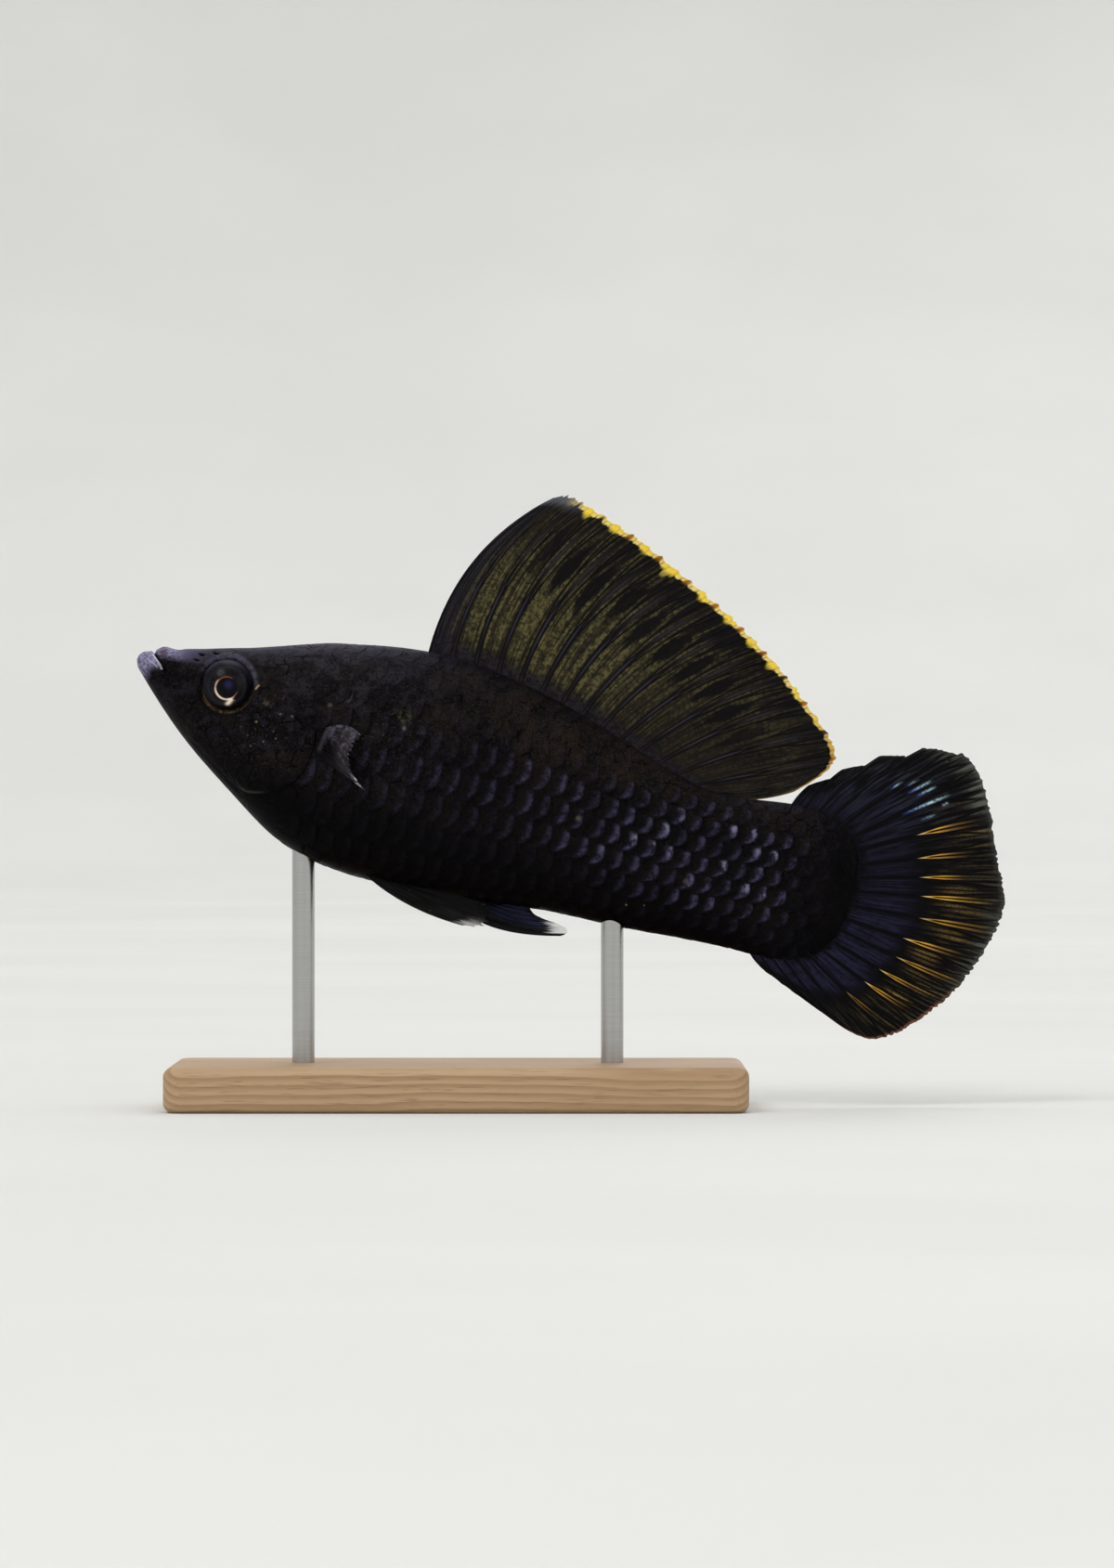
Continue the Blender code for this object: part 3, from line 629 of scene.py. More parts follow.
def make_skin_paint():
    """The hide with its lips, mouth line, nostrils, orbit, creases and the lower edge of the gill cover."""
    paint = Paint("hide", 0.44, Specular_IOR_Level=0.025, Coat_Weight=0.008, Coat_Roughness=0.2)
    along, height, fine = hide_colour(paint)
    grain = paint.noise(2900, 3, 0.65)
    cells = {"Vector": paint.place(), "Scale": 640}
    cracks = paint.node("ShaderNodeTexVoronoi", {"feature": "DISTANCE_TO_EDGE"}, cells).ease(0.09, 0.02)
    cracks = cracks * paint.noise(480, 2, 0.5).ease(0.47, 0.6) * along.ease(4.0, 7.0)
    paint.over(cracks * 0.9, (0.0007, 0.0006, 0.0007))
    paint_mouth(paint, along, height, grain)
    # Painted shade in the mouth line and in the nostril pits.
    paint.over(paint.level("groove_shade"), (0.002, 0.0015, 0.002))
    for s, h, wide, tall in NOSTRILS:
        pit = distance((along - s) / wide, (height - h) / tall)
        # At each nostril a painted highlight on the lower rim and painted shade deep in the pit.
        paint.over(pit.hump(1.9, 0.55) * height.ease(h + 0.1, h - 0.2) * 0.5, (0.05, 0.046, 0.052))
        paint.over(pit.shaken(grain, 0.6).ease(1.3, 0.7) * 0.95, (0.0004, 0.0003, 0.0006))
    rim = paint.level("rim")
    # Painted highlight, violet, on the upper rim of the orbit, and painted shade on its lower rim.
    paint.over(rim * height.ease(0.4, 2.6) * fine.ease(0.3, 0.6) * 0.8, (0.082, 0.076, 0.112))
    paint.over(rim * height.ease(-0.2, -1.6) * 0.85, (0.002, 0.0015, 0.002))
    arc = paint.level("arc") * (height - along * 0.45).ease(-4.9, -6.6) * (fine.ease(0.35, 0.6) * 0.8 + 0.2)
    paint.over(arc * 0.55, (0.36, 0.25, 0.12))
    behind = line_mask(along, height, (13.72, 0.95), (13.92, 1.42), 0.08)[0]
    paint.over(behind * 0.9 * grain.ease(0.3, 0.5), (0.46, 0.31, 0.17))
    # Painted shade: thin dark lines along the creases of the head.
    for start, end, width in (
        ((18.9, -0.8), (21.6, -1.4), 0.14),
        ((13.0, 3.3), (15.6, 4.0), 0.12),
        ((4.6, -3.1), (9.6, -6.4), 0.1),
        ((11.5, -4.2), (14.0, -6.2), 0.09),
        ((13.9, -0.5), (14.6, -4.6), 0.1),
        ((16.5, 5.6), (19.5, 6.6), 0.1),
        ((20.5, 7.2), (21.8, 5.9), 0.1),
    ):
        crease = line_mask(along, height, start, end, width)[0]
        paint.over(crease * 0.85 * fine.ease(0.3, 0.5), (0.0007, 0.0007, 0.0007))
    cloud = distance(along - 24.0, height - 2.8).ease(1.2, 0.3)
    paint.over(cloud * 0.45 * fine.ease(0.3, 0.6), (0.065, 0.062, 0.07))
    cover = paint.level("cover") * along.span(14.7, 15.6, 16.6, 18.6) * height.ease(-7.6, -8.6)
    paint.over(cover * 0.3, (0.12, 0.11, 0.085))
    paint.over(paint.level("shade") * 0.9, (0.001, 0.001, 0.001))
    paint.bump(fine * 0.6 + grain * 0.4 - cracks, 0.55, 0.00014)
    return paint.finish(fine.ease(0.2, 0.8) * 0.14 + 0.4)


def make_scale_paint():
    """Dark scales, each with a painted violet-grey sheen crescent along its rear edge that trails forward and
    down.
    """
    paint = Paint("scales", 0.38, Specular_IOR_Level=0.025, Coat_Weight=0.008, Coat_Roughness=0.2)
    along, _, fine = hide_colour(paint)
    rear = paint.level("rear")
    upward = paint.level("upward")
    strength = paint.level("sheen")
    broken = paint.noise(900, 3, 0.7)
    centre = upward * 0.06 + 0.845 + (broken - 0.5) * 0.14
    spread = (rear - centre).ease(0.04, -0.04) * 0.045 + 0.095
    band = ((rear - centre) / spread).power(2.0) * -1.0
    band = band.bell() * upward.span(-1.0, -0.35, 0.62, 1.0)
    shade = paint.noise(1300, 3, 0.7).ease(0.36, 0.62) * 0.85 + 0.15
    share = (band * strength * shade * (along.ease(28, 50) * 0.35 + 0.58)).least()
    # Painted highlight: the strongest crescents turn pale at their upper ends.
    bright = strength.ease(0.78, 1.0) * shade * upward.ease(-0.4, 0.5)
    paint.over(share, paint.mix(bright, SHEEN, PALE_SHEEN))
    # Painted shade over the front of each scale, where it lies under the scale before it.
    paint.over(rear.ease(0.45, 0.15) * 0.7, (0.0012, 0.001, 0.0014))
    paint.over(rear.ease(0.955, 1.0) * 0.8, (0.0012, 0.001, 0.0014))
    paint.bump(fine, 0.3, 0.00008)
    return paint.finish(fine.ease(0.2, 0.8) * 0.12 + 0.38)


def ray_chart(paint, along=3.0):
    """The ray number, the share of the way to the margin, and a streaky noise that runs along the rays."""
    number, reach = paint.chart("rays")
    return number, reach, streaks(paint, number * 9.0, reach * along, 4.0)


def streaks(paint, across, along, layer):
    """Cloudy noise in a frame of its own, where a grain is about 1 across and 1 along."""
    where = paint.node("ShaderNodeCombineXYZ", None, {"X": across, "Y": along, "Z": layer})
    return paint.noise(1.0, 3, 0.6, where)


def ray_values(paint, number, reach):
    """The distance to the nearest ray, a random value for each ray, and a broad noise along the rays."""
    away = ((number + 0.5).part() - 0.5).size()
    own = paint.chance((number + 0.5).whole() * 1.37 + 3.1)
    return away, own, streaks(paint, number * 1.5, reach * 3.6, 0.0)


def twig_lines(away, reach, first, spread, second, split, width):
    """Fine lines along a ray that part at the first fork and again at the second, and how far they have
    parted.

    The first parting grows with the power 0.7 of the way past the fork, so it opens at once; each line
    is solid over half its width and fades over the other half.
    """
    opened = ((reach - first) / (1 - first)).most(0.0).power(0.7) * spread
    parted = ((reach - second) / (1 - second)).most(0.0)
    twig = ((away - opened).size() - parted * split).size()
    return twig.ease(width, width * 0.45), opened


def dashes(paint, number, reach, lines, seed, low, high, length):
    """Thin strokes along the rays, so many lines to a ray space: each line is lit or not by chance.

    Each stroke lies round its own place between low and high and fades towards both ends.
    """
    line = (number * lines).whole()
    lit = paint.chance(line * 0.731 + seed)
    middle = paint.chance(line * 1.173 + seed + 5.0) * (high - low) + low
    across = ((number * lines).part() - 0.5).size().ease(0.42, 0.1)
    return across * ((reach - middle) / length).size().ease(1.0, 0.1) * lit.ease(0.45, 1.0)


def make_dorsal_paint():
    """Olive streaks between dark double rays with a painted violet-grey highlight inside each, long dark
    blotches, and a fringe of yellow flames.

    A flame reaches inwards from the margin by 0.01 of the ray at its sides and, by chance, by 0.026 to
    0.081 in its middle. The rays between the flames end in brown tips.
    """
    paint = Paint("dorsal_membrane", 0.45, Specular_IOR_Level=0.05, Coat_Weight=0.015, Coat_Roughness=0.25)
    number, reach, thin = ray_chart(paint, 1.9)
    away, own, wide = ray_values(paint, number, reach)
    fine = paint.noise(2300, 4, 0.7)
    soft = paint.noise(900)
    space = paint.chance(number.whole() * 1.9 + 0.7)
    front = number.ease(13.0, 6.0) * 0.65 + 0.35
    low = reach.shaken(wide, 0.5).ease(1.1, 0.45) * 0.75 + 0.25
    streak = (thin.ease(0.42, 0.58) * 0.85 + 0.15) * away.ease(0.03, 0.12)
    olive = paint.mix(fine.ease(0.4, 0.6), (0.027, 0.0245, 0.012), (0.112, 0.096, 0.038))
    brown = paint.mix(wide.ease(0.35, 0.65), (0.005, 0.0042, 0.0046), (0.012, 0.0082, 0.0062))
    dim = 1 - number.ease(5.5, 11.0) * reach.ease(0.75, 0.25) * 0.6
    paint.start(streak * front * low * dim * reach.ease(0.0, 0.16), brown, olive)
    paint.over(soft.ease(0.54, 0.68) * 0.45, (0.007, 0.006, 0.0055))
    centre = (space - 0.5) * 0.1 - number * 0.012 + 0.7
    lens = ((reach - centre) / 0.2).size() + ((0.5 - away) / 0.26).power(2.0)
    blot = (lens + (fine - 0.5) * 0.6 + (thin - 0.5)).ease(1.15, 0.6) * number.ease(1.6, 2.8)
    paint.over(blot * (1 - number.ease(10.5, 13.0) * 0.5) * 0.95, (0.0028, 0.0024, 0.0032))
    outer = reach.shaken(wide, 0.2).ease(0.7, 0.86) * number.ease(2.5, 5.0) * thin.ease(0.58, 0.46)
    paint.over(outer * 0.85, (0.0035, 0.003, 0.0038))
    edge = number.ease(1.45, 0.35)
    dusk = paint.mix(thin.ease(0.4, 0.6), (0.005, 0.0045, 0.008), (0.017, 0.016, 0.023))
    paint.over(edge * 0.9, dusk)
    base = reach.shaken(fine, 0.1).ease(0.11, 0.02)
    paint.over(base * 0.85, paint.mix(fine.ease(0.4, 0.6), (0.0055, 0.0045, 0.0065), (0.02, 0.0165, 0.023)))
    # Painted highlight: a thin violet-grey line down the middle of each ray, between its two dark lines.
    between = away.ease(0.05, 0.015) * reach.span(0.1, 0.25, 0.7, 0.92) * number.ease(0.4, 0.8)
    paint.over(between * 0.7, (0.034, 0.031, 0.046))
    lines = twig_lines((away - 0.08).size(), reach, 0.36, 0.19, 0.64, 0.1, 0.038)[0]
    paint.over(lines * 0.95, (0.0018, 0.0014, 0.0024))
    leant = (number.part() - 0.56 + (space - 0.5) * 0.2 + (thin - 0.5) * 0.3).size()
    depth = 0.99 - leant.ease(0.27, 0.02) * (space * 0.055 + 0.016) * number.ease(15.0, 9.0)
    flame = (reach - depth + (fine - 0.5) * 0.03).ease(-0.016, 0.012) * number.ease(1.2, 2.4)
    hem_side = (reach - 0.972 + (thin - 0.5) * 0.024).ease(-0.006, 0.006) * away.ease(0.03, 0.12)
    pale = paint.mix(number.ease(10.5, 13.5) * 0.8, (1.0, 0.8, 0.27), (0.34, 0.14, 0.02))
    paint.over(hem_side * (1 - lines * 0.5) * number.ease(1.2, 2.4) * 0.9, pale)
    core = paint.mix(reach.ease(0.935, 0.978), (0.3, 0.24, 0.05), (0.97, 0.69, 0.055))
    core = paint.mix(number.ease(10.5, 13.5) * 0.75, core, (0.42, 0.19, 0.025))
    paint.over(flame * (1 - lines * 0.4) * (soft.ease(0.3, 0.48) * 0.3 + 0.7), core)
    tips = reach.ease(0.95, 0.985) * away.ease(0.1, 0.03) * number.ease(2.4, 4.0)
    paint.over(tips * 0.9, paint.mix(own.ease(0.35, 0.7), (0.04, 0.017, 0.006), (0.46, 0.16, 0.01)))
    apex = reach.ease(0.9, 1.0) * number.ease(2.6, 1.2)
    paint.over(apex * 0.6, (0.2, 0.21, 0.24))
    hem = number.ease(14.8, 14.97) * reach.ease(0.15, 0.5)
    paint.over(hem * 0.6, (0.2, 0.125, 0.055))
    paint.bump(lines * -1.0 + fine * 0.35, 0.45, 0.00012)
    return paint.finish(fine.ease(0.2, 0.8) * 0.15 + 0.42, 1 - reach.ease(0.96, 1.0) * 0.2)


def make_caudal_paint():
    """Dark violet bands parted by thin dark rays; at their forks gold wedges that split into gold threads.

    Five threads lie between two rays, each lit over a stretch of its own, with thin dark gaps between them;
    the upper lobe has a few beaded blue-white streaks instead.
    """
    paint = Paint("caudal_membrane", 0.42, Specular_IOR_Level=0.04, Coat_Weight=0.015, Coat_Roughness=0.25)
    number, reach, thin = ray_chart(paint)
    away, own, wide = ray_values(paint, number, reach)
    fine = paint.noise(1500, 4, 0.7)
    beads = paint.noise(3400, 2)
    grown = reach + (own - 0.5) * 0.07
    lines, fork = twig_lines(away, grown, 0.45, 0.27, 0.64, 0.115, 0.05)
    shaft = away.ease(0.16, 0.07) * reach.ease(0.52, 0.42)
    bands = number.ease(6.5, 13.0) * 0.8 + 0.2
    dusk = paint.mix(thin.ease(0.38, 0.62), (0.0024, 0.0022, 0.0042), (0.0065, 0.0062, 0.013))
    violet = paint.mix(thin.ease(0.36, 0.62), (0.0046, 0.0044, 0.0112), (0.018, 0.0175, 0.043))
    inner = paint.mix(bands * fine.ease(0.25, 0.6), dusk, violet)
    rays = thin.ease(0.46, 0.6) * reach.ease(0.5, 0.66)
    middle = number.span(4.8, 7.0, 15.0, 18.0)
    smoke = paint.mix(middle, (0.015, 0.015, 0.0165), (0.036, 0.029, 0.013))
    outer = paint.mix(rays * (beads.ease(0.35, 0.6) * 0.5 + 0.5), (0.0022, 0.0019, 0.0025), smoke)
    paint.start(reach.shaken(wide, 0.25).ease(0.34, 0.52), inner, outer)
    paint.over(reach.shaken(fine, 0.25).ease(0.14, 0.03), (0.0012, 0.001, 0.0014))
    room = number.span(5.0, 6.2, 13.8, 15.6)
    threads = dashes(paint, number, reach, 5.0, 2.0, 0.58, 0.92, 0.18) * room * grown.ease(0.5, 0.7)
    paint.over(threads * (beads.ease(0.35, 0.6) * 0.6 + 0.4), (0.185, 0.116, 0.028))
    inside = (fork - away).ease(-0.012, 0.02) * grown.ease(0.452, 0.47)
    split = 1 - away.ease(0.05, 0.02) * grown.ease(0.53, 0.59)
    wedge = inside * split * (reach + (own - 0.5) * 0.22 + (thin - 0.5) * 0.5).ease(0.92, 0.6) * room
    gold = paint.mix(grown.ease(0.46, 0.58), (1.0, 0.84, 0.4), (0.8, 0.44, 0.04))
    gold = paint.mix(grown.ease(0.6, 0.76), gold, (0.36, 0.19, 0.028))
    paint.over((wedge * (own.ease(0.1, 0.6) * 0.45 + 0.55)).least(0.95), gold)
    mist = thin.ease(0.44, 0.6) * reach.hump(0.48, 0.26) * number.hump(3.4, 2.6)
    paint.over(mist * 0.8, (0.024, 0.025, 0.045))
    corners = number.hump(4.9, 1.3) + number.hump(10.7, 2.0) * 0.7
    margin = reach.shaken(fine, 0.1).ease(0.82, 0.99) * corners
    paint.over(margin * (thin.ease(0.42, 0.6) * 0.8 + 0.15), (0.128, 0.134, 0.108))
    gaps = ((number * 5.0).part() - 0.5).size().ease(0.26, 0.46) * grown.ease(0.5, 0.6)
    paint.over(gaps * 0.75 * reach.ease(1.05, 0.9), (0.002, 0.0017, 0.0022))
    paint.over(lines * (1 - reach.ease(0.85, 1.0) * 0.2), (0.0018, 0.0015, 0.0022))
    paint.over(shaft * 0.95, (0.0018, 0.0015, 0.0022))
    for at, start, end, strength in GLINTS:
        glint, share = line_mask(number, reach * 10, (at, start * 10), (at - 0.02, end * 10), 0.036)
        lit = glint * share.span(0.0, 0.35, 0.55, 1.0) * (beads.ease(0.36, 0.56) * 0.8 + 0.2)
        icy = paint.mix(share.ease(0.1, 0.7), (0.085, 0.13, 0.52), (0.52, 0.8, 0.88))
        paint.over(lit * strength, icy)
    rust = reach.ease(0.965, 0.99) * number.span(11.6, 13.4, 16.4, 18.0) * thin.ease(0.36, 0.5)
    paint.over(rust * 0.85, (0.19, 0.05, 0.014))
    paint.bump(lines * -1.0 - shaft - gaps * 0.4 + fine * 0.35, 0.45, 0.00012)
    return paint.finish(fine.ease(0.2, 0.8) * 0.15 + 0.38, 1 - reach.ease(0.95, 1.0) * 0.2)


def make_gonopodium_paint():
    """The gonopodium: violet-blue upper folds, near-black thick first rays, and a white tip."""
    paint = Paint("gonopodium", 0.42, Specular_IOR_Level=0.05, Coat_Weight=0.02, Coat_Roughness=0.25)
    number, reach, thin = ray_chart(paint)
    blue = paint.mix(thin.ease(0.35, 0.62), (0.005, 0.005, 0.012), (0.019, 0.02, 0.05))
    folds = number.ease(1.2, 2.6) * reach.span(0.12, 0.32, 0.75, 0.98)
    black = paint.mix(thin.ease(0.4, 0.6), (0.002, 0.0018, 0.0024), (0.0105, 0.01, 0.011))
    paint.start(folds, black, blue)
    white = reach.shaken(thin, 0.35).ease(0.86, 0.93) * number.span(0.7, 1.0, 2.6, 3.4)
    paint.over(white * 0.95, (0.85, 0.86, 0.87))
    paint.bump(thin, 0.3, 0.00008)
    return paint.finish()


def make_pelvic_paint():
    """The pelvic fins: dark smoky green streaks along the rays, a few white specks and a small pale tip."""
    paint = Paint("pelvic_membrane", 0.42, Specular_IOR_Level=0.05, Coat_Weight=0.02, Coat_Roughness=0.25)
    number, reach, thin = ray_chart(paint)
    grain = paint.noise(1900, 2)
    paint.start(thin.ease(0.42, 0.66), (0.0018, 0.0019, 0.0021), (0.0135, 0.015, 0.0145))
    paint.over(number.ease(2.0, 4.0) * 0.9, (0.0018, 0.0018, 0.0024))
    paint.over(grain.ease(0.7, 0.75) * reach.ease(0.3, 0.5), (0.3, 0.33, 0.33))
    white = reach.shaken(thin, 0.3).ease(0.88, 0.96) * number.hump(1.4, 0.9)
    paint.over(white * 0.85, (0.62, 0.62, 0.62))
    paint.bump(thin, 0.3, 0.00008)
    return paint.finish(alpha=1 - reach.ease(0.9, 1.0) * 0.15)


def make_pectoral_paint():
    """The pectoral fin: mottled grey-violet, a painted shadow in its hollow, a painted highlight on its top
    edge, a pale tip.
    """
    paint = Paint("pectoral_membrane", 0.42, Specular_IOR_Level=0.06, Coat_Weight=0.02, Coat_Roughness=0.25)
    number, reach, thin = ray_chart(paint)
    smoke = paint.noise(1150, 3, 0.65)
    cloud = paint.noise(520, 2, 0.5)
    paint.start(thin.ease(0.36, 0.62), (0.023, 0.02, 0.026), (0.106, 0.096, 0.132))
    paint.over(smoke.ease(0.43, 0.53) * 0.92, (0.015, 0.0115, 0.0105))
    paint.over(smoke.ease(0.4, 0.3) * 0.5, (0.17, 0.155, 0.23))
    paint.over(cloud.ease(0.5, 0.62) * 0.55, (0.018, 0.016, 0.018))
    # Painted shadow: the hollow towards the fin's foot goes near-black.
    hollow = (number + smoke * 5).ease(5.4, 9.4) * reach.shaken(smoke, 0.7).ease(0.76, 0.4)
    paint.over(hollow * 0.95, (0.0018, 0.0015, 0.0024))
    # Painted highlight, pale violet, along the fin's upper edge.
    brow = number.ease(2.2, 0.3) * reach.span(0.0, 0.2, 0.6, 0.9)
    paint.over(brow * 0.45 * smoke.ease(0.6, 0.4), (0.19, 0.18, 0.25))
    root = reach.hump(0.07, 0.05) * number.ease(11.0, 8.0)
    paint.over(root * 0.6, (0.085, 0.08, 0.105))
    specks = reach.ease(0.88, 0.95) * smoke.ease(0.48, 0.56) * number.ease(8.5, 10.5)
    paint.over(specks, (0.66, 0.66, 0.7))
    paint.bump(thin, 0.3, 0.00008)
    return paint.finish(alpha=1 - reach.ease(0.7, 1.0) * 0.15)


def make_eye_paint():
    """The eye by distance from its pupil: dark iris, pale crescent that swells below, gold arc at the rim,
    painted sheen above.
    """
    paint = Paint("eye", 0.3, Specular_IOR_Level=0.06, Coat_Weight=0.06, Coat_Roughness=0.03)
    x, z = paint.chart("iris", 10)
    away = distance(x, z)
    rim_away = distance(x + 0.1, z - 0.23)
    fine = paint.noise(3200)
    paint.start(fine.ease(0.35, 0.7), (0.0028, 0.0025, 0.0035), (0.0095, 0.008, 0.0115))
    paint.over(rim_away.hump(2.05, 0.14) * 0.3, (0.03, 0.026, 0.04))
    # Painted sheen, violet, on the upper edge of the eyeball.
    upper = rim_away.ease(2.35, 2.85) * z.ease(0.2, 1.8)
    paint.over(upper * 0.6, (0.04, 0.037, 0.066))
    arc = rim_away.hump(2.8, 0.06) * (z - x * 0.4).ease(0.6, -1.4)
    paint.over(arc * (0.25 + fine.ease(0.3, 0.65) * 0.75), (0.46, 0.3, 0.13))
    left = away.hump(1.27, 0.08) * x.ease(0.15, -0.6) * z.ease(0.75, 0.35)
    below = away.hump(1.28, 0.1) * z.ease(-0.2, -0.9) * x.ease(1.2, 0.75)
    drip = (x - 0.66 - (z + 1.5) * 0.45).hump(0.0, 0.25) * z.span(-2.0, -1.6, -1.15, -0.9)
    glow = (left * (fine.ease(0.3, 0.55) * 0.4 + 0.6) + below + drip * 1.4).least()
    copper = away.hump(1.2, 0.07) * z.ease(-0.1, 0.5) * x.ease(0.45, -0.1) * fine.ease(0.25, 0.55)
    copper = (copper + away.hump(1.2, 0.06) * x.ease(0.7, 1.0) * z.ease(0.0, -0.3) * 0.8).least()
    paint.over(copper * 0.75, (0.36, 0.085, 0.03))
    bright = paint.mix((drip + below * 0.5).least(), (0.62, 0.43, 0.32), (1.0, 0.9, 0.72))
    paint.over(glow, bright)
    paint.over(away.ease(1.16, 1.09), (0.0012, 0.0012, 0.003))
    glint = distance(x - 0.05, z - 0.4).ease(0.75, 0.05)
    paint.over(glint * 0.5, (0.03, 0.028, 0.11))
    return paint.finish()


def make_wood_paint():
    """Light oiled wood: year rings round a pith below the board, 0.8 mm apart and slightly wavy, with pores.

    Each ring darkens slowly over its width and ends at a sharp dark line.
    """
    paint = Paint("oiled_wood", 0.5, Specular_IOR_Level=0.3)
    where = paint.place()
    across = paint.one(where, "Y") * 1000 - 9
    up = paint.one(where, "Z") * 1000 + 34
    wave = paint.drawn(2.0, 3, 0.5, (14.0, 40.0, 40.0))
    radius = distance(across, up) + wave * 2.4
    ring = (radius / 0.8).part()
    late = ring.ease(0.15, 0.92) * ring.ease(1.0, 0.94)
    pores = paint.drawn(30, 2, 0.5, (9.0, 260.0, 260.0))
    broad = paint.drawn(2.0, 2, 0.5, (20.0, 60.0, 60.0))
    paint.start(late * 0.8, (0.5, 0.34, 0.195), (0.34, 0.2, 0.105))
    paint.over(broad.ease(0.4, 0.65) * 0.3, (0.4, 0.24, 0.125))
    paint.over(pores.ease(0.58, 0.72) * 0.5, (0.2, 0.11, 0.055))
    paint.bump(late * -0.1 - pores.ease(0.6, 0.72), 0.2, 0.0001)
    return paint.finish(late * -0.08 + 0.5)


def make_steel_paint():
    """Steel turned on a lathe: fine rings round the rod."""
    paint = Paint("turned_steel", 0.3, Metallic=1.0)
    rings = paint.drawn(60, 3, 0.6, (1.0, 1.0, 260.0))
    paint.start(rings.ease(0.3, 0.7), (0.4, 0.4, 0.395), (0.47, 0.47, 0.465))
    paint.bump(rings, 0.1, 0.00004)
    return paint.finish(rings * 0.1 + 0.2)


def make_floor_paint():
    """A smooth pale floor with a very faint unevenness."""
    paint = Paint("pale_floor", 0.8, Specular_IOR_Level=0.2)
    cloud = paint.noise(6, 3, 0.5)
    paint.start(cloud.ease(0.3, 0.7), (0.7, 0.7, 0.685), (0.735, 0.735, 0.72))
    return paint.finish()


# Head and body.

def mouth_distance(s, h):
    """Distance from the mouth line, and a share that is 1 along the line and falls to 0 past its corner."""
    line = MOUTH_CORNER - MOUTH_FRONT
    length = np.linalg.norm(line)
    x, y = s - MOUTH_FRONT[0], h - MOUTH_FRONT[1]
    away = (y * line[0] - x * line[1]) / length
    return away, 1 - ease(length, length * 1.3, (x * line[0] + y * line[1]) / length)


def eye_distance(s, h):
    """Distance from the middle of the eye in side view."""
    return np.hypot(s - EYE_CENTRE[0], h - EYE_CENTRE[1])


def nostril_distances(s, h):
    """Distance from each nostril, in its own half length and half height."""
    return [np.hypot((s - x * MM) / (wide * MM), (h - y * MM) / (tall * MM)) for x, y, wide, tall in NOSTRILS]


def line_distance(s, h, start, end):
    """Distance from a line between two points of the side view, and the share of the way along it."""
    start, end = np.array(start) * MM, np.array(end) * MM
    way = end - start
    share = np.clip(((s - start[0]) * way[0] + (h - start[1]) * way[1]) / (way @ way), 0, 1)
    return np.hypot(s - start[0] - share * way[0], h - start[1] - share * way[1]), share


# Creases of the head: start, end, depth, width, and the share of the way over which each one sets in.
CREASES = (
    ((1.0, 0.15), (3.4, -0.85), 0.13, 0.18, 0.15),
    ((14.2, 2.0), (16.0, -7.8), 0.07, 0.35, 0.0),
    ((6.8, -5.6), (15.4, -10.6), 0.06, 0.2, 0.3),
    ((14.2, 3.4), (18.2, 2.2), 0.05, 0.3, 0.0),
)


def relief(s, h):
    """How far the skin stands out of the plain body: a sum of bells along the lips, the mouth line, the
    orbit and the nostrils, less the socket of the eye and the creases.
    """
    away, ends = mouth_distance(s, h)
    gape = -0.42 * hump(away, 0, 0.15 * MM) * ends
    upper = 0.34 * hump(away, 1.05 * MM, 0.7 * MM) * ends
    upper = upper - 0.1 * hump(away, 2.5 * MM, 0.45 * MM) * ease(1.2 * MM, 2.2 * MM, h)
    lower = 0.22 * hump(away, -0.52 * MM, 0.32 * MM) * ends * ease(1.6 * MM, 0.9 * MM, h)
    corner, share = line_distance(s, h, (3.2, -0.2), (4.0, -2.6))
    cheek = -0.12 * hump(corner, 0, 0.25 * MM) * (1 - share)
    rim = eye_distance(s, h) - EYE_RADIUS
    orbit = 0.2 * hump(rim, 0.36 * MM, 0.26 * MM) + 0.08 * hump(rim, 0.9 * MM, 0.7 * MM)
    socket = -1.6 * ease(0.06 * MM, -0.28 * MM, rim)
    total = gape + upper + lower + cheek + orbit + socket
    for nostril in nostril_distances(s, h):
        total = total - 0.35 * hump(nostril, 0, 0.75) + 0.05 * hump(nostril, 1.5, 0.4)
    for start, end, depth, width, rise in CREASES:
        crease, share = line_distance(s, h, start, end)
        total = total - depth * hump(crease, 0, width * MM) * (ease(0, rise, share) if rise else 1)
    return total * MM


def under_coat(s):
    """How far the skin is sunk: by the depth of the coat where scales cover it, and by 0 at both ends."""
    return COAT_DEPTH * ease(19.5 * MM, 23.5 * MM, s) * (1 - ease(79.5 * MM, 82.5 * MM, s))


def build_skin(paint):
    """One skin from the jaw to the tail: the plain body with its relief, sunk under the coat of scales.

    The stations lie closest at the nose, as the power 1.6 of an even series, and close round the head.
    """
    nose = np.linspace(0.015, 1, 64)[:-1] ** 1.6 * 5.0 * 1.016 + JAW_TIP / MM
    head = np.linspace(5.0, 19.0, 150)[:-1]
    rear = np.linspace(19.0, TAIL_BLUNT_END / MM, 130)
    stations = np.concatenate([nose, head, rear]) * MM
    s, a = np.meshgrid(stations, circle(265), indexing="ij")
    plain = body_point(s, a)
    h = plain[..., 2]
    raised = relief(s, h) - under_coat(s)
    away, ends = mouth_distance(s, h)
    # Where painted shade goes: along the mouth line and into the nostril pits.
    pits = hump(away, 0, 0.1 * MM) * ends + sum(hump(nostril, 0, 0.7) for nostril in nostril_distances(s, h))
    rim = eye_distance(s, h)
    levels = {
        "groove_shade": np.clip(pits, 0, 1),
        "crown": hump(a, math.pi / 2, CROWN_WIDTH),
        "rim": hump(rim, 3.2 * MM, 0.3 * MM),
        "arc": hump(rim, 2.95 * MM, 0.06 * MM),
        "cover": 0 * s,
        "shade": 0 * s,
    }
    points = posed(open_columns(plain + ring_normals(plain) * raised[..., None]))
    add_piece(
        "skin", points, tube(plain), paint, ("head", "lower_jaw", "trunk", "tail_stalk"),
        charts={"side": open_columns(join(s, h)) * 100},
        levels={name: open_columns(values) for name, values in levels.items()},
    )


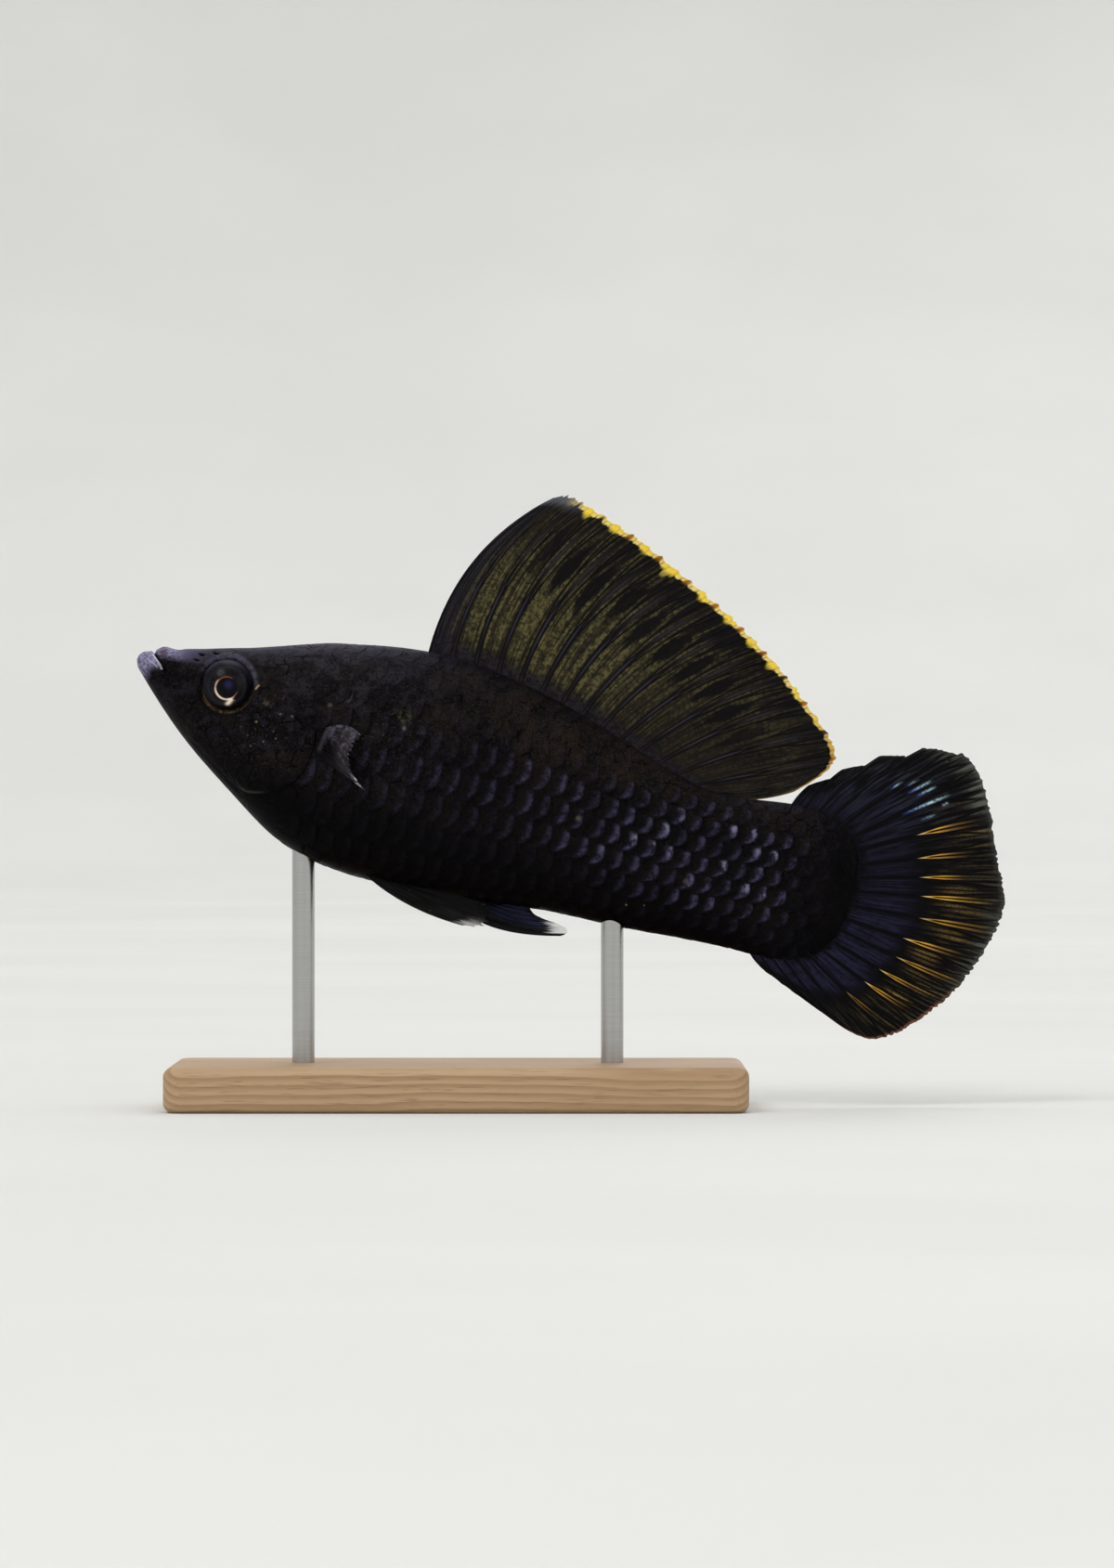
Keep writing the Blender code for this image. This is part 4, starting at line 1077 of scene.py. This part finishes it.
def build_gill_cover(side, word, paint):
    """A gill cover: a shell whose outline is a radius for each bearing, sunk in front and free behind.

    It follows the flank, moved out along the flank's normal, and its edge is rounded as a quarter circle.
    """
    radii = spline(np.radians(COVER_ANGLES), np.array(COVER_RADII) * MM)
    angle = circle(145)[None, :]
    share = np.linspace(0, 1, 40)[1:, None]
    radius = radii(angle)[..., 0]
    s = COVER_CENTRE[0] + share * radius * np.cos(angle)
    h = COVER_CENTRE[1] + share * radius * np.sin(angle)
    step = 0.05 * MM
    along = join(2 * step, side * (flank(s + step, h) - flank(s - step, h)), 0.0)
    up = join(0.0, side * (flank(s, h + step) - flank(s, h - step)), 2 * step)
    out = np.cross(along, up) * -side
    out /= np.linalg.norm(out, axis=-1, keepdims=True)
    flat = join(s, side * flank(s, h), h)
    bearing = (np.degrees(angle) + 180) % 360 - 180
    free = ease(-128, -98, bearing) * (1 - 0.55 * ease(-60, -15, bearing)) * (1 - ease(15, 60, bearing))
    lift = (-0.1 + 0.42 * free * ease(0.0, 1.0, share) + 0.16 * (1 - share**2)) * MM
    edge = np.sqrt(1 - np.clip((share - 0.93) / 0.07, 0, 1) ** 2)
    outer = flat + out * (lift - 0.22 * MM * (1 - edge))[..., None]
    inner = flat + out * (lift - 0.45 * MM)[..., None]
    grid = np.concatenate([outer, inner[::-1]])
    zero = 0 * s
    add_piece(
        "gill_cover_" + word + "_shell", posed(open_columns(grid)), tube(grid), paint,
        ("gill_cover_" + word,),
        charts={"side": open_columns(grid[..., ::2]) * 100},
        levels={
            "groove_shade": 0, "crown": 0, "rim": 0, "arc": 0,
            "cover": open_columns(np.concatenate([zero + hump(share, 0.965, 0.025), zero])),
            "shade": open_columns(np.concatenate([zero + ease(0.975, 1.0, share), zero + 1])),
        },
    )


def build_eye(side, word, paint):
    """An eye: a flattened ball whose front dome carries a slightly sunken pupil with a raised ring."""
    low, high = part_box("eye_" + word)
    middle = (np.array(low) + np.array(high)) / 2
    depth = (high[1] - low[1]) / 2
    turn = circle(97)[None, :]
    tilt = (np.linspace(0.012, 1, 60) * math.pi * 0.985)[:, None]
    radius = (EYE_RADIUS - 0.05 * MM) * np.sin(tilt)
    x, z = radius * np.cos(turn), radius * np.sin(turn)
    pupil_x, pupil_z = PUPIL_CENTRE - EYE_CENTRE
    away = np.hypot(x - pupil_x, z - pupil_z)
    ring = 0.1 * hump(away, 1.34 * MM, 0.16 * MM) - 0.1 * ease(1.18 * MM, 1.04 * MM, away)
    out = depth * 0.98 * np.cos(tilt) + ease(-0.2, 0.3, np.cos(tilt)) * MM * ring
    local = join(x, side * out, z)
    chart = open_columns(join(x - pupil_x, z - pupil_z)) * 100
    add_piece(
        "eyeball_" + word, open_columns(local @ TURN.T + middle), tube(local), paint, ("eye_" + word,),
        charts={"iris": chart},
    )


# Scales.

def girth_table(stations, columns):
    """Points and outward normals of the body by station and share of the girth, counted from the belly."""
    fine = np.linspace(-math.pi / 2, 1.5 * math.pi, 721)
    s, a = np.meshgrid(stations, fine, indexing="ij")
    ring = body_point(s, a)
    outward = ring_normals(ring)
    way = np.linalg.norm(np.diff(ring, axis=1), axis=-1)
    way = np.concatenate([np.zeros((len(stations), 1)), np.cumsum(way, axis=1)], axis=1)
    way /= way[:, -1:]
    at = np.linspace(0, 1, columns)
    place = np.stack([np.interp(at, row, np.arange(len(fine))) for row in way])
    low = np.clip(place.astype(int), 0, len(fine) - 2)
    part = (place - low)[..., None]
    row = np.arange(len(stations))[:, None]
    points = ring[row, low] * (1 - part) + ring[row, low + 1] * part
    normals = outward[row, low] * (1 - part) + outward[row, low + 1] * part
    angles = fine[low] + (fine[1] - fine[0]) * part[..., 0]
    return points, normals, angles


TABLE_STATIONS = np.linspace(8.0, 83.4, 400) * MM
TABLE = girth_table(TABLE_STATIONS, 361)


def on_body(s, girth):
    """Points, normals and angles at stations and shares of the girth, blended between the table's entries."""
    step = TABLE_STATIONS[1] - TABLE_STATIONS[0]
    row = np.clip((s - TABLE_STATIONS[0]) / step, 0, len(TABLE_STATIONS) - 1.001)
    column = (girth % 1.0) * 360
    i, j = row.astype(int), np.clip(column.astype(int), 0, 359)
    u, v = row - i, column - j

    def blend(values):
        """The four entries round each place, weighted by nearness."""
        p, q = (u[..., None], v[..., None]) if values.ndim == 3 else (u, v)
        near = values[i, j] * (1 - q) + values[i, j + 1] * q
        far = values[i + 1, j] * (1 - q) + values[i + 1, j + 1] * q
        return near * (1 - p) + far * p

    return tuple(blend(values) for values in TABLE)


def build_scales(paint):
    """Scales in staggered rows: each a thin domed plate whose front lies under the scales before it.

    Its rear edge draws back with the power 2.2 of the distance from its middle line. It rises towards
    its rear with the power 1.1 of the way along, less where the body is smooth.
    """
    draw = np.random.default_rng(11)
    first, last = 13.6 * MM, 79.0 * MM
    columns = int((last - first) / SCALE_PITCH * 2)
    column, row = np.meshgrid(np.arange(columns), np.arange(SCALE_ROWS), indexing="ij")
    keep = (column + row) % 2 == 0
    from_back = np.abs((row + 0.5) / SCALE_ROWS - 0.5)
    keep &= (first + column * SCALE_PITCH / 2 > 19.0 * MM) | (from_back < 0.16)
    column, row = column[keep], row[keep]
    count = len(column)
    root = first + column * SCALE_PITCH / 2 + draw.normal(0, 0.05, count) * MM
    girth = (row + 0.5) / SCALE_ROWS + draw.normal(0, 0.0012, count)
    length = SCALE_PITCH * 1.45 * (1 + draw.normal(0, 0.02, count))
    tilt = draw.normal(0, 0.018, count)[:, None, None]
    lengthwise, crosswise = 4, 7
    t = np.linspace(0, 1, lengthwise)[None, :, None]
    q = np.linspace(-1, 1, crosswise)[None, None, :]
    upward = q * np.where(girth > 0.5, -1, 1)[:, None, None]
    round_rear = 1 - (0.3 - 0.19 * upward) * np.abs(q) ** 2.2
    s = root[:, None, None] + length[:, None, None] * t * round_rear
    s = np.minimum(s, 83.0 * MM)
    u = girth[:, None, None] + 0.56 / SCALE_ROWS * q * (1 - 0.16 * (1 - t) ** 2)
    point, normal, angle = on_body(s, u)
    cover = ease(15.5 * MM, 23.5 * MM, s) * (1 - ease(78.0 * MM, 81.5 * MM, s))
    cover = cover * (1 - 0.5 * ease(1.5 * MM, 5.0 * MM, point[..., 2]))
    height = -0.06 + 0.22 * t**1.1 * (0.25 + 0.75 * cover) - 0.07 * q**2 * (0.4 + 0.6 * t)
    height = (height + tilt * q * cover) * MM - under_coat(s)
    top = point + normal * height[..., None]
    bottom = point + normal * (height - (0.1 - 0.04 * t) * MM)[..., None]
    per = lengthwise * crosswise
    points = np.stack([top, bottom], axis=1).reshape(-1, 3)
    shift = np.arange(count)[:, None, None] * 2 * per
    faces = (plate_faces(lengthwise, crosswise)[None] + shift).reshape(-1, 4)

    def twice(values):
        """The same values for both sides of each scale."""
        values = np.broadcast_to(values, (count, lengthwise, crosswise))
        return np.stack([values, values], axis=1).ravel()

    middle_s, _, middle_h = on_body(root + length * 0.7, girth)[0].T / MM
    low_limit = np.interp(middle_s, *SHEEN_LOW)
    high_limit = np.interp(middle_s, *SHEEN_HIGH)
    strong = 0.32 + 0.68 * ease(40, 56, middle_s) * (1 - ease(74.5, 77.5, middle_s))
    strong = strong * ease(-1.8, 2.2, middle_h - low_limit) * ease(-1.2, 1.2, high_limit - middle_h)
    strong = strong * draw.uniform(0.25, 1.15, count) * (1 - ease(75.5, 78, middle_s)) + 0.04
    patch = join(
        twice(root[:, None, None] / 0.1 + 0.0015 * (t * 2 - 1)),
        twice((girth[:, None, None] % 1.0) + 0.0015 * q),
    )
    side = join(twice(point[..., 0]), twice(point[..., 2])) * 100
    add_piece(
        "scales", posed(points), [faces], paint, sharp=70,
        charts={"OFBake": patch, "side": side},
        levels={
            "rear": twice(t),
            "upward": twice(upward),
            "sheen": twice(np.clip(strong, 0, 1)[:, None, None]),
            "crown": twice(hump(angle, math.pi / 2, CROWN_WIDTH)),
        },
    )


# Fins.

def key_points(rows):
    """Points from a few key rays, each given as its number and its coordinates in mm."""
    table = np.array(rows, float)
    return spline(table[:, 0], table[:, 1:] * MM)


def flat(curve):
    """Points of the middle plane from a curve that gives distance along the body and height."""

    def point(number):
        """The curve's point, in the middle plane."""
        s, h = np.moveaxis(curve(number), -1, 0)
        return join(s, 0.0, h)

    return point


def bowed(foot, tip, bow, lean, last, shift):
    """A path of rays from foot to tip, each bowed forwards as 4r(1-r) times a share of its length.

    The rays are moved on by a share of a ray space, most in the middle of the fin.
    """

    def path(number, reach):
        """The line from foot to tip, plus the bow, the spine's swing and the fin's lean."""
        number = number + 4 * shift * number * (last - number) / last**2
        start, end = foot(number), tip(number)
        chord = end - start
        forwards = join(-chord[..., 2], 0.0, chord[..., 0])
        curve = 4 * reach * (1 - reach) * bow(number)
        points = start + chord * reach[..., None] + forwards * curve[..., None]
        points[..., 1] += sway(points[..., 0]) + lean(number, reach)
        return points

    return path


def bent(foot, knee, tip, side=1, wave=0.0):
    """A path of rays that each bend once over a knee: a quadratic curve through foot, knee and tip.

    They sway along the body by a sine of the ray's number, and a side of -1 mirrors them.
    """

    def path(number, reach):
        """The curve's point, swayed and mirrored."""
        r = reach[..., None]
        points = (1 - r) ** 2 * foot(number) + 2 * r * (1 - r) * knee(number) + r**2 * tip(number)
        points[..., 0] += wave * np.sin(number * 2.1) * reach
        return points * (1, side, 1)

    return path


def belly_foot(start, length, across, last):
    """Feet of rays at even steps along the belly, at a distance from its middle, sunk a little into it."""

    def foot(number):
        """The foot of a ray."""
        s = (start + length * number / last) * MM
        point = belly_point(s, np.full_like(s, across * MM))
        point[..., 2] += 0.35 * MM
        return point

    return foot


def build_fin(
    name, last, path, paint, per_ray=14, rows=64, fork=None, membrane=0.26, ridge=0.3, scallop=0.02,
    stout=None, fray=0.004, steps=None, lobe=0.0,
):
    """A fin as one closed plate: a membrane, with each ray a bell-shaped ridge that parts at the fork.

    Between rays the margin draws back as 1 - exp(-distance/0.12), less a bell-shaped lobe half way between
    them; where there are steps it draws back in proportion to the way past each ray and springs out again
    at the next.
    """
    number = np.linspace(0, last, last * per_ray + 1)[None, :] + np.zeros((rows, 1))
    share = (np.linspace(0, 1, rows) ** 0.92)[:, None]
    away = np.abs(number - np.round(number))
    opened = np.clip((share - fork[0]) / (1 - fork[0]), 0, 1) * fork[1] if fork else 0.0
    ragged = np.random.default_rng(5).normal(0, fray, number.shape[1])
    notch = scallop * (1 - np.exp(-away / 0.12)) * (1 - lobe * hump(away, 0.5, 0.2)) - ragged
    if steps:
        notch = notch + steps[1] * (number % 1.0) * (number < steps[0])
    reach = share * (1 - np.clip(notch, 0, 0.12) * ease(0.6, 1.0, share))
    thick = membrane + ridge * hump(np.abs(away - opened), 0, 0.16 - 0.09 * share) * (1 - 0.65 * share)
    thick = thick + 0.35 * np.exp(-share / 0.05)
    if stout:
        thick = thick + stout(number) * (1 - 0.5 * share)
    thick = 0.12 + (thick - 0.12) * ease(0, 0.1, 1 - share)
    middle = path(number, reach)
    half = normals_of(middle) * (thick * MM / 2)[..., None]
    points = np.concatenate([(middle + half).reshape(-1, 3), (middle - half).reshape(-1, 3)])
    chart = np.tile(join(number, share).reshape(-1, 2), (2, 1))
    faces = plate_faces(*number.shape)
    add_piece(name + "_web", posed(points), [faces], paint, (name,), charts={"rays": chart})


def build_dorsal_fin(paint):
    """The sail: 15 ray spaces along the back, bowed forwards in front, with a sine ripple across.

    The ripple grows with the power 1.5 of the way out, and the rear leans over with its square.
    """
    last = 15
    front, rear = 30.6 * MM, 67.6 * MM
    tip = flat(key_points([
        (0, 39.0, 31.0), (1, 40.3, 31.7), (2, 41.8, 31.6), (4, 47.35, 30.05), (8, 61.85, 24.05),
        (12, 74.6, 15.8), (13, 77.2, 13.0), (14, 76.4, 10.3), (15, 74.3, 8.0),
    ]))

    def foot(number):
        """Even steps along the back, sunk a little into it."""
        s = front + (rear - front) * number / last
        return join(s, 0.0, section(s)[0] - 0.35 * MM)

    def bow(number):
        """Shrinks as the power 0.7 of what is left of the fin, and ends slightly hollow."""
        return 0.115 * np.clip(1 - number / last, 0, 1) ** 0.7 - 0.08 * ease(12, 15, number)

    def lean(number, reach):
        """The cube of the place times the square of the reach, and the ripple."""
        return -1.0 * MM * (number / last) ** 3 * reach**2 + 0.3 * MM * np.sin(number * 1.25) * reach**1.5

    path = bowed(foot, tip, bow, lean, last, 0.45)
    build_fin("dorsal_fin", last, path, paint, fork=(0.3, 0.25), scallop=0.022, lobe=0.7)


def tail_outline():
    """The rounded end of the tail stalk in side view, from its upper to its lower corner, just inside it."""
    s = TAIL_END_START + (TAIL_BLUNT_END - TAIL_END_START) * np.sin(np.linspace(0, math.pi / 2, 90))
    back, belly = section(s)[:2]
    line = np.concatenate([join(s, back), join(s, belly)[::-1]])
    tangent = np.gradient(line, axis=0)
    tangent /= np.linalg.norm(tangent, axis=-1, keepdims=True)
    line = line - 0.9 * MM * join(-tangent[:, 1], tangent[:, 0])
    length = np.concatenate([[0], np.cumsum(np.linalg.norm(np.diff(line, axis=0), axis=-1))])
    return line, length / length[-1]


def build_caudal_fin(paint):
    """The tail fin: 20 ray spaces from the end of the tail stalk, with a sine ripple across.

    Along the upper margin each ray space drops with the power 1.4 of the way past its ray.
    """
    last = 20
    tip = flat(key_points([
        (0, 75.3, 8.7), (2, 81.4, 13.8), (3.5, 87.6, 16.85), (4.5, 91.5, 16.8), (5.4, 94.2, 14.2),
        (7.6, 98.0, 6.9), (9.6, 100.2, 1.8), (11.5, 99.0, -5.0), (14.6, 94.4, -13.1), (16, 90.8, -16.1),
        (17.7, 85.2, -15.4), (20, 76.6, -12.3),
    ]))
    line, share = tail_outline()

    def foot(number):
        """Even steps round the end of the tail stalk."""
        s, h = (np.interp(number / last, share, line[:, i]) for i in (0, 1))
        return join(s, 0.0, h)

    def bow(number):
        """Upwards for the upper rays and downwards for the lower ones."""
        return 0.05 * (1 - 2 * number / last)

    def lean(number, reach):
        """A ripple by the sine of the ray's number."""
        return 0.35 * MM * np.sin(number) * reach**1.5

    path = bowed(foot, tip, bow, lean, last, 0.35)

    def stepped(number, reach):
        """The rays' path less the drop along the upper margin."""
        drop = 0.55 * MM * (number % 1.0) ** 1.4 * (number < 4) * reach**2
        return path(number, reach) - drop[..., None] * np.array([-0.45, 0.0, 0.89])

    build_fin(
        "caudal_fin", last, stepped, paint, per_ray=15, fork=(0.42, 0.26),
        ridge=0.36, scallop=0.008, fray=0.006, steps=(2.99, 0.09),
    )


def build_pectoral_fin(side, word, paint):
    """A pectoral fin: 12 ray spaces from a short line on the flank, turned out towards the viewer."""
    last = 12
    knee = key_points([(0, 24.3, 11.5, 0.7), (6, 23.8, 10.6, -1.8), (12, 24.4, 8.6, -4.3)])
    tip = key_points([
        (0, 26.5, 15.2, -0.5), (5, 26.0, 14.6, -3.0), (9, 26.9, 12.8, -5.0), (12, 28.5, 10.4, -6.1),
    ])

    def foot(number):
        """Even steps down the flank, sunk a little into it."""
        s = (22.6 - 0.4 * number / last) * MM
        h = (-0.9 - 3.3 * number / last) * MM
        return join(s, flank(s, h) - 0.3 * MM, h)

    build_fin(
        "pectoral_fin_" + word, last, bent(foot, knee, tip, side, 0.12 * MM), paint,
        per_ray=6, rows=40, fork=(0.55, 0.2), membrane=0.16, ridge=0.24, scallop=0.05,
    )


def build_pelvic_fin(side, word, paint):
    """A pelvic fin: 5 ray spaces from the belly, laid back under it."""
    last = 5
    tip = key_points([(0, 43.2, 2.3, -17.35), (2.5, 45.7, 2.6, -16.5), (5, 45.4, 2.6, -14.2)])
    knee = key_points([(0, 36.2, 2.2, -17.6), (5, 38.8, 2.4, -14.5)])
    path = bent(belly_foot(31.0, 2.4, 1.9, last), knee, tip, side)
    build_fin(
        "pelvic_fin_" + word, last, path, paint, per_ray=8, rows=40, fork=(0.6, 0.2),
        membrane=0.2, ridge=0.26, scallop=0.04,
    )


def build_gonopodium(paint):
    """The rod-like anal fin of a male: 6 ray spaces, the first rays stout by a bell of the ray's number."""
    last = 6
    tip = key_points([
        (0, 54.0, 0.0, -15.3), (1, 54.5, 0.0, -14.8), (2, 54.2, 0.0, -14.3), (4, 51.0, 0.0, -14.0),
        (6, 49.6, 0.0, -13.2),
    ])
    knee = key_points([(0, 44.8, 0.0, -18.2), (2, 47.8, 0.0, -16.3), (6, 47.6, 0.0, -13.4)])
    build_fin(
        "gonopodium", last, bent(belly_foot(40.9, 4.7, 0.0, last), knee, tip), paint,
        per_ray=8, rows=48, membrane=0.3, ridge=0.34, scallop=0.01,
        stout=lambda number: 0.6 * hump(number, 0, 1.5),
    )


# Stand.

def build_base(paint):
    """A board with round corners, drawn in at its top and bottom edges by a quarter circle.

    Each ring is the corner circle's quarters moved to the four corners, all less the inset.
    """
    low, high = (np.array(corner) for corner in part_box("stand_base"))
    half = (high - low) / 2
    middle = (high + low) / 2
    corner, edge = 2.2 * MM, 1.1 * MM
    turn = circle(53)
    quadrant = np.minimum(np.arange(53) // 13, 3)
    centres = np.array([(1, 1), (-1, 1), (-1, -1), (1, -1)])[quadrant] * (half[:2] - corner)
    bend = np.linspace(0, math.pi / 2, 9)
    inset = np.concatenate([edge * (1 - np.sin(bend)), edge * (1 - np.cos(bend))])[:, None]
    bottom, top = -half[2] + edge * (1 - np.cos(bend)), half[2] - edge * (1 - np.sin(bend))
    level = np.concatenate([bottom, top])[:, None]
    x = centres[:, 0] + (corner - inset) * np.cos(turn)
    y = centres[:, 1] + (corner - inset) * np.sin(turn)
    x[:, -1], y[:, -1] = x[:, 0], y[:, 0]
    grid = join(x, y, level) + middle
    add_piece("base_board", open_columns(grid), tube(grid), paint, ("stand_base",), sharp=60)


def build_rod(name, paint):
    """A round rod from the base up to the belly that it carries, its top cut along the belly.

    The station over each point of the rod is found by steps of the distance that is still left.
    """
    low, high = (np.array(corner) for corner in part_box(name))
    radius = (high[0] - low[0]) / 2
    x0 = (high[0] + low[0]) / 2
    turn = circle(65)
    x, y = x0 + radius * np.cos(turn), radius * np.sin(turn)
    s = (x - FISH_PLACE[0]) / math.cos(PITCH)
    for _ in range(8):
        belly = posed(belly_point(s, y))
        s = s + (x - belly[:, 0]) / math.cos(PITCH)
    top = belly[:, 2] + 0.15 * MM
    floor = np.full_like(top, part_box("stand_base")[1][2] - 0.2 * MM)
    share = np.linspace(0, 1, 30)[:, None]
    z = floor + (top - floor) * share
    grid = join(x, y, z)
    add_piece(name + "_steel", open_columns(grid), tube(grid), paint, (name,))


# Floor, light and camera.

def build_floor(paint):
    """A pale disc, flat for 1.6 m, that curves up all round as a quarter circle of 1.4 m into a wall."""
    turn = circle(97)[None, :]
    flat_part = np.linspace(0.02, 1.6, 12)
    bend = np.linspace(0, math.pi / 2, 24)[1:]
    radius = np.concatenate([flat_part, 1.6 + 1.4 * np.sin(bend), [3.0]])[:, None]
    level = np.concatenate([0 * flat_part, 1.4 * (1 - np.cos(bend)), [4.5]])[:, None]
    grid = join(radius * np.cos(turn), radius * np.sin(turn), level)
    rows, columns = grid.shape[:2]
    mesh = bpy.data.meshes.new("floor")
    ring = np.arange(columns - 1)
    fan = join(rows * columns, ring, ring + 1)
    points = np.concatenate([grid.reshape(-1, 3), [(0, 0, 0)]])
    mesh.from_pydata(points.tolist(), [], grid_quads(rows, columns)[:, ::-1].tolist() + fan.tolist())
    mesh.materials.append(paint)
    mesh.shade_smooth()
    floor = bpy.data.objects.new("floor", mesh)
    bpy.context.scene.collection.objects.link(floor)


def build_studio():
    """A pale room: an even white surround and large soft round lamps that face the model."""
    world = bpy.data.worlds.new("studio")
    world.use_nodes = True
    world.node_tree.nodes["Background"].inputs["Color"].default_value = (1.0, 1.0, 1.0, 1.0)
    world.node_tree.nodes["Background"].inputs["Strength"].default_value = 1.0
    scene = bpy.context.scene
    scene.world = world
    scene.view_settings.view_transform = "Standard"
    scene.view_settings.look = "None"
    for name, place, size, watts in LAMPS:
        light = bpy.data.lights.new(name, "AREA")
        light.shape = "DISK"
        light.size = size
        light.energy = watts
        lamp = bpy.data.objects.new(name, light)
        lamp.location = place
        lamp.rotation_euler = (Vector(LAMP_AIM) - Vector(place)).to_track_quat("-Z", "Y").to_euler()
        scene.collection.objects.link(lamp)


def build_camera():
    """A level camera square to the fish's side, with a long lens and the photo's framing."""
    camera = bpy.data.cameras.new("camera")
    camera.sensor_width = SENSOR
    camera.lens = SENSOR * CAMERA_AWAY / (PHOTO_SIZE[1] * PIXEL)
    camera.clip_start, camera.clip_end = 0.01, 20.0
    holder = bpy.data.objects.new("camera", camera)
    jaw = posed(np.array((JAW_TIP, 0.0, 0.4 * MM)))
    right, down = (PHOTO_SIZE[0] / 2 - JAW_SEEN[0]) * PIXEL, (PHOTO_SIZE[1] / 2 - JAW_SEEN[1]) * PIXEL
    holder.location = (jaw[0] + right, -CAMERA_AWAY, jaw[2] - down)
    holder.rotation_euler = (math.pi / 2, 0, 0)
    bpy.context.scene.collection.objects.link(holder)
    bpy.context.scene.camera = holder


skin_paint = make_skin_paint()
build_skin(skin_paint)
build_scales(make_scale_paint())
eye_paint = make_eye_paint()
pectoral_paint = make_pectoral_paint()
pelvic_paint = make_pelvic_paint()
for side, word in ((-1, "left"), (1, "right")):
    build_gill_cover(side, word, skin_paint)
    build_eye(side, word, eye_paint)
    build_pectoral_fin(side, word, pectoral_paint)
    build_pelvic_fin(side, word, pelvic_paint)
build_dorsal_fin(make_dorsal_paint())
build_caudal_fin(make_caudal_paint())
build_gonopodium(make_gonopodium_paint())
build_base(make_wood_paint())
steel = make_steel_paint()
build_rod("stand_rod_front", steel)
build_rod("stand_rod_rear", steel)
build_floor(make_floor_paint())
build_studio()
build_camera()
